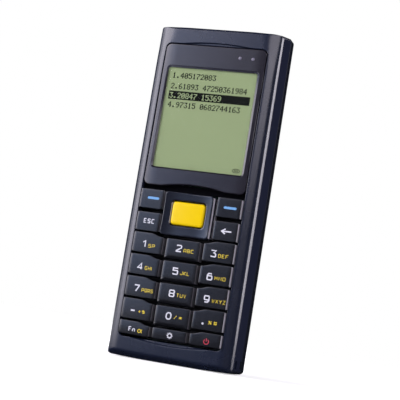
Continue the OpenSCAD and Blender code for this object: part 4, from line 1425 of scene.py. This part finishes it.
KEPT_NODES = {
    "casing_screws": "steel", "lcd_frame": "white_plastic", "backlight_plate": "light_guide",
    "lcd_flex": "amber_film", "status_leds": "white_plastic", "main_board": "board_green",
    "board_chips": "chip_black", "backup_cell": "steel", "beeper": "chip_black",
    "nav_rocker": "white_plastic", "battery_door_latch": "rear_black", "battery_door_pin": "steel",
    "battery_left": "cell_jacket", "battery_right": "cell_jacket", "battery_contacts": "brass_gold",
    "battery_connector": "white_plastic", "cradle_contacts": "brass_gold",
    "vibration_motor": "steel", "vibration_weight": "steel", "scan_window": "scan_red",
    "scan_chassis": "engine_zinc", "laser_module": "brass_gold", "scan_mirror": "mirror_silver",
    "mirror_pin": "steel", "mirror_coil": "copper_wire", "collector_lens": "lens_clear",
    "light_sensor": "chip_black",
}


def finish_kept_nodes():
    """Gives each node that is shown as it was packed its finish."""
    for name, material in KEPT_NODES.items():
        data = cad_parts[name].data
        if not data.materials:
            data.materials.append(MATERIALS[material])
        for i, _ in enumerate(data.materials):
            data.materials[i] = MATERIALS[material]


# --- Stage -------------------------------------------------------------------------------


def seen_directly(tree):
    """1 for rays from the camera, from a gloss or through clear material, else 0."""
    path = tree.nodes.new("ShaderNodeLightPath")
    total = path.outputs["Is Camera Ray"]
    for name in ("Is Glossy Ray", "Is Transmission Ray"):
        add = tree.nodes.new("ShaderNodeMath")
        add.operation = "MAXIMUM"
        tree.links.new(total, add.inputs[0])
        tree.links.new(path.outputs[name], add.inputs[1])
        total = add.outputs[0]
    return total


def make_world(ambient):
    """White where it is seen, and a plain soft light on the object."""
    world = bpy.data.worlds.new("studio")
    world.use_nodes = True
    bpy.context.scene.world = world
    tree = world.node_tree
    back = tree.nodes["Background"]
    back.inputs["Color"].default_value = (1, 1, 1, 1)
    level = tree.nodes.new("ShaderNodeMapRange")
    level.inputs["To Min"].default_value = ambient
    level.inputs["To Max"].default_value = 1.0
    tree.links.new(seen_directly(tree), level.inputs["Value"])
    tree.links.new(level.outputs["Result"], back.inputs["Strength"])


def make_floor():
    """A wide pale floor that keeps the object's shadow."""
    shape = Mesh()
    radius, thick = 2500.0, 2.0
    top = CAD_LOW.z / MM - MIDDLE
    outline = circle(0, BACK, radius, 96)
    shape.solid([shape.ring([(x, y, z) for x, z in outline]) for y in (top, top - thick)])
    made = Finish("floor_paper", (0.82, 0.82, 0.82), 0.9, Specular_IOR_Level=0.1)
    made.mottle(400.0, 0.01)
    made.set("Emission Color", (1, 1, 1, 1))
    # Dimmer round the object's foot, so that its shadow stays
    reach = made.node("ShaderNodeVectorMath")
    reach.operation = "LENGTH"
    made.link(made.place, reach.inputs[0])
    fade = made.node("ShaderNodeMapRange")
    for name, value in (("From Min", 0.05), ("From Max", 0.35), ("To Min", 0.55), ("To Max", 0.98)):
        fade.inputs[name].default_value = value
    made.link(reach.outputs["Value"], fade.inputs["Value"])
    glow = made.node("ShaderNodeMath")
    glow.operation = "MULTIPLY"
    made.link(seen_directly(made.tree), glow.inputs[0])
    made.link(fade.outputs["Result"], glow.inputs[1])
    made.link(glow.outputs[0], made.shader.inputs["Emission Strength"])
    piece = shape.finish("floor")
    piece.data.materials.append(made.material)


def around(azimuth, radius, z):
    """A point at a distance from the object's axis, at an angle from its front to its right."""
    a = math.radians(azimuth)
    return Vector((radius * math.sin(a), -radius * math.cos(a), z))


# Each softbox: its name, the setting that holds its power, its width and height in metres,
# its azimuth from the front to the right, its middle's height, and its tint if not lilac
SOFTBOXES = (
    ("left_front_softbox", "left_front", (0.93, 0.9), -54, 0.35),
    ("left_side_softbox", "left_side", (0.4, 0.9), -91, 0.35),
    ("right_softbox", "right", (0.46, 0.9), 137, 0.2),
    ("front_softbox", "front", (1.2, 0.5), 44, 0.51),
    ("upper_softbox", "above", (0.5, 0.5), -28, 0.66),
    ("blue_strip", "strip", (0.14, 0.65), -25, 0.22, (0.4, 0.58, 1)),
)
LILAC = (0.943, 0.893, 1)
LAMP_TARGET = Vector((0, 0, 0.07))
# Each flag: its name, its first and last azimuth, and the radius and height of its two edges
FLAGS = (
    ("front_flag", -31, 124, (1.3, 0.01), (1.3, 1.6)),
    ("back_flag", 146, 258, (1.3, 0.01), (1.3, 1.6)),
    ("top_flag", -180, 180, (0.01, 1.3), (1.3, 1.6)),
    ("foot_flag", -180, 180, (0.001, 0.0001), (0.14, 0.0001)),
    ("floor_flag", -27, 200, (0.14, 0.0001), (1.3, 0.0001)),
)
# The point of the terminal that the camera looks at
CAMERA_AIM = (-0.22, -0.85, 14.3)


def softbox(name, watts, size, at, tint=LILAC):
    """An area lamp that faces the terminal's middle, not seen by the camera."""
    light = bpy.data.lights.new(name, "AREA")
    light.shape = "RECTANGLE"
    light.size, light.size_y = size
    light.energy = watts
    light.color = tint
    lamp = bpy.data.objects.new(name, light)
    bpy.context.scene.collection.objects.link(lamp)
    lamp.location = at
    lamp.rotation_euler = (LAMP_TARGET - at).to_track_quat("-Z", "Y").to_euler()
    lamp.visible_camera = False


def flag(name, start, end, inner, outer):
    """A black card round the object, seen only in its gloss, as a studio has.

    It runs between two angles, from a radius and height to another radius and height."""
    shape = bmesh.new()
    steps = 24
    columns = []
    for i in range(steps + 1):
        a = lerp(start, end, i / steps)
        columns.append([shape.verts.new(around(a, *inner)), shape.verts.new(around(a, *outer))])
    for a, b in zip(columns, columns[1:]):
        shape.faces.new((a[0], b[0], b[1], a[1]))
    data = bpy.data.meshes.new(name)
    shape.to_mesh(data)
    shape.free()
    made = Finish("flag_cloth", (0.02, 0.02, 0.022), 0.9, Specular_IOR_Level=0.0)
    made.mottle(30.0, 0.1)
    data.materials.append(made.material)
    card = bpy.data.objects.new(name, data)
    bpy.context.scene.collection.objects.link(card)
    card.visible_camera = False
    card.visible_diffuse = False
    card.visible_shadow = False
    card.visible_transmission = False


def make_camera():
    """The camera at the photograph's place, looking up a little and rolled."""
    view = stage()
    target = place(*CAMERA_AIM)
    a, e = view.azimuth, view.elevation
    away = Vector((math.sin(a) * math.cos(e), -math.cos(a) * math.cos(e), math.sin(e)))
    data = bpy.data.cameras.new("camera")
    data.lens = view.lens
    data.sensor_width = 36
    data.clip_start = 0.01
    camera = bpy.data.objects.new("camera", data)
    bpy.context.scene.collection.objects.link(camera)
    turn = (-away).to_track_quat("-Z", "Y").to_matrix().to_4x4()
    camera.matrix_world = (Matrix.Translation(target + away * view.distance) @ turn
                           @ Matrix.Rotation(view.roll, 4, "Z"))
    bpy.context.scene.camera = camera


# --- Operators ---------------------------------------------------------------------------


class TERMINAL_OT_materials(bpy.types.Operator):
    """Make every finish, and give the plain inner parts theirs"""

    bl_idname = "terminal.materials"
    bl_label = "Finishes"

    def execute(self, context):
        make_materials()
        finish_kept_nodes()
        return {"FINISHED"}


class TERMINAL_OT_casing(bpy.types.Operator):
    """Build the front and rear halves with the seal between them"""

    bl_idname = "terminal.casing"
    bl_label = "Casing"

    def execute(self, context):
        front_casing()
        casing_lining()
        rear_casing()
        casing_seal()
        return {"FINISHED"}


class TERMINAL_OT_battery_door(bpy.types.Operator):
    """Build the battery door"""

    bl_idname = "terminal.battery_door"
    bl_label = "Battery door"

    def execute(self, context):
        battery_door()
        return {"FINISHED"}


class TERMINAL_OT_display(bpy.types.Operator):
    """Build the display, its window, its panel and the two status lenses"""

    bl_idname = "terminal.display"
    bl_label = "Display"

    def execute(self, context):
        display_panel()
        status_lenses()
        display_window()
        display_glass()
        return {"FINISHED"}


class TERMINAL_OT_keys(bpy.types.Operator):
    """Build the number and command keys with the rubber mat behind them"""

    bl_idname = "terminal.keys"
    bl_label = "Keys"

    def execute(self, context):
        for name in [key[0] for key in NUMBER_KEYS] + list(COMMAND_KEYS):
            key_cap(name)
        key_nub()
        keypad_mat()
        return {"FINISHED"}


class TERMINAL_OT_pad(bpy.types.Operator):
    """Build the four-way pad and the scan key in it"""

    bl_idname = "terminal.pad"
    bl_label = "Four-way pad"

    def execute(self, context):
        four_way_pad()
        scan_key()
        return {"FINISHED"}


class TERMINAL_OT_print(bpy.types.Operator):
    """Print the figures, letters and signs on the keys"""

    bl_idname = "terminal.print"
    bl_label = "Key print"

    def execute(self, context):
        key_prints()
        return {"FINISHED"}


class TERMINAL_OT_stage(bpy.types.Operator):
    """Set up the floor, the lights and the camera"""

    bl_idname = "terminal.stage"
    bl_label = "Stage"

    def execute(self, context):
        view = stage()
        context.scene.view_settings.view_transform = "Standard"
        make_world(view.ambient)
        make_floor()
        for name, setting, size, azimuth, z, *tint in SOFTBOXES:
            softbox(name, getattr(view, setting), size, around(azimuth, 1, z), *tint)
        for name, start, end, inner, outer in FLAGS:
            flag(name, start, end, inner, outer)
        make_camera()
        return {"FINISHED"}


OPERATORS = (TERMINAL_OT_materials, TERMINAL_OT_casing, TERMINAL_OT_battery_door,
             TERMINAL_OT_display, TERMINAL_OT_keys, TERMINAL_OT_pad, TERMINAL_OT_print,
             TERMINAL_OT_stage)
GROUPS = {"terminal_casing": TerminalCasing, "terminal_display": TerminalDisplay,
          "terminal_keys": TerminalKeys, "terminal_stage": TerminalStage}


class TERMINAL_PT_panel(bpy.types.Panel):
    """Lists the steps that build the terminal"""

    bl_idname = "TERMINAL_PT_panel"
    bl_label = "Barcode terminal"
    bl_space_type = "VIEW_3D"
    bl_region_type = "UI"
    bl_category = "Terminal"

    def draw(self, context):
        for group in GROUPS:
            box = self.layout.box()
            settings = getattr(context.scene, group)
            for name in settings.__annotations__:
                box.prop(settings, name)
        for operator in OPERATORS:
            self.layout.operator(operator.bl_idname)


def register():
    for made in (*GROUPS.values(), *OPERATORS, TERMINAL_PT_panel):
        bpy.utils.register_class(made)
    for name, group in GROUPS.items():
        setattr(bpy.types.Scene, name, PointerProperty(type=group))


def unregister():
    for name in GROUPS:
        delattr(bpy.types.Scene, name)
    for made in reversed((*GROUPS.values(), *OPERATORS, TERMINAL_PT_panel)):
        bpy.utils.unregister_class(made)


def main():
    register()
    for operator in OPERATORS:
        group, name = operator.bl_idname.split(".")
        if getattr(getattr(bpy.ops, group), name)() != {"FINISHED"}:
            raise RuntimeError(f"{operator.bl_label} didn't finish")


if __name__ == "__main__":
    main()
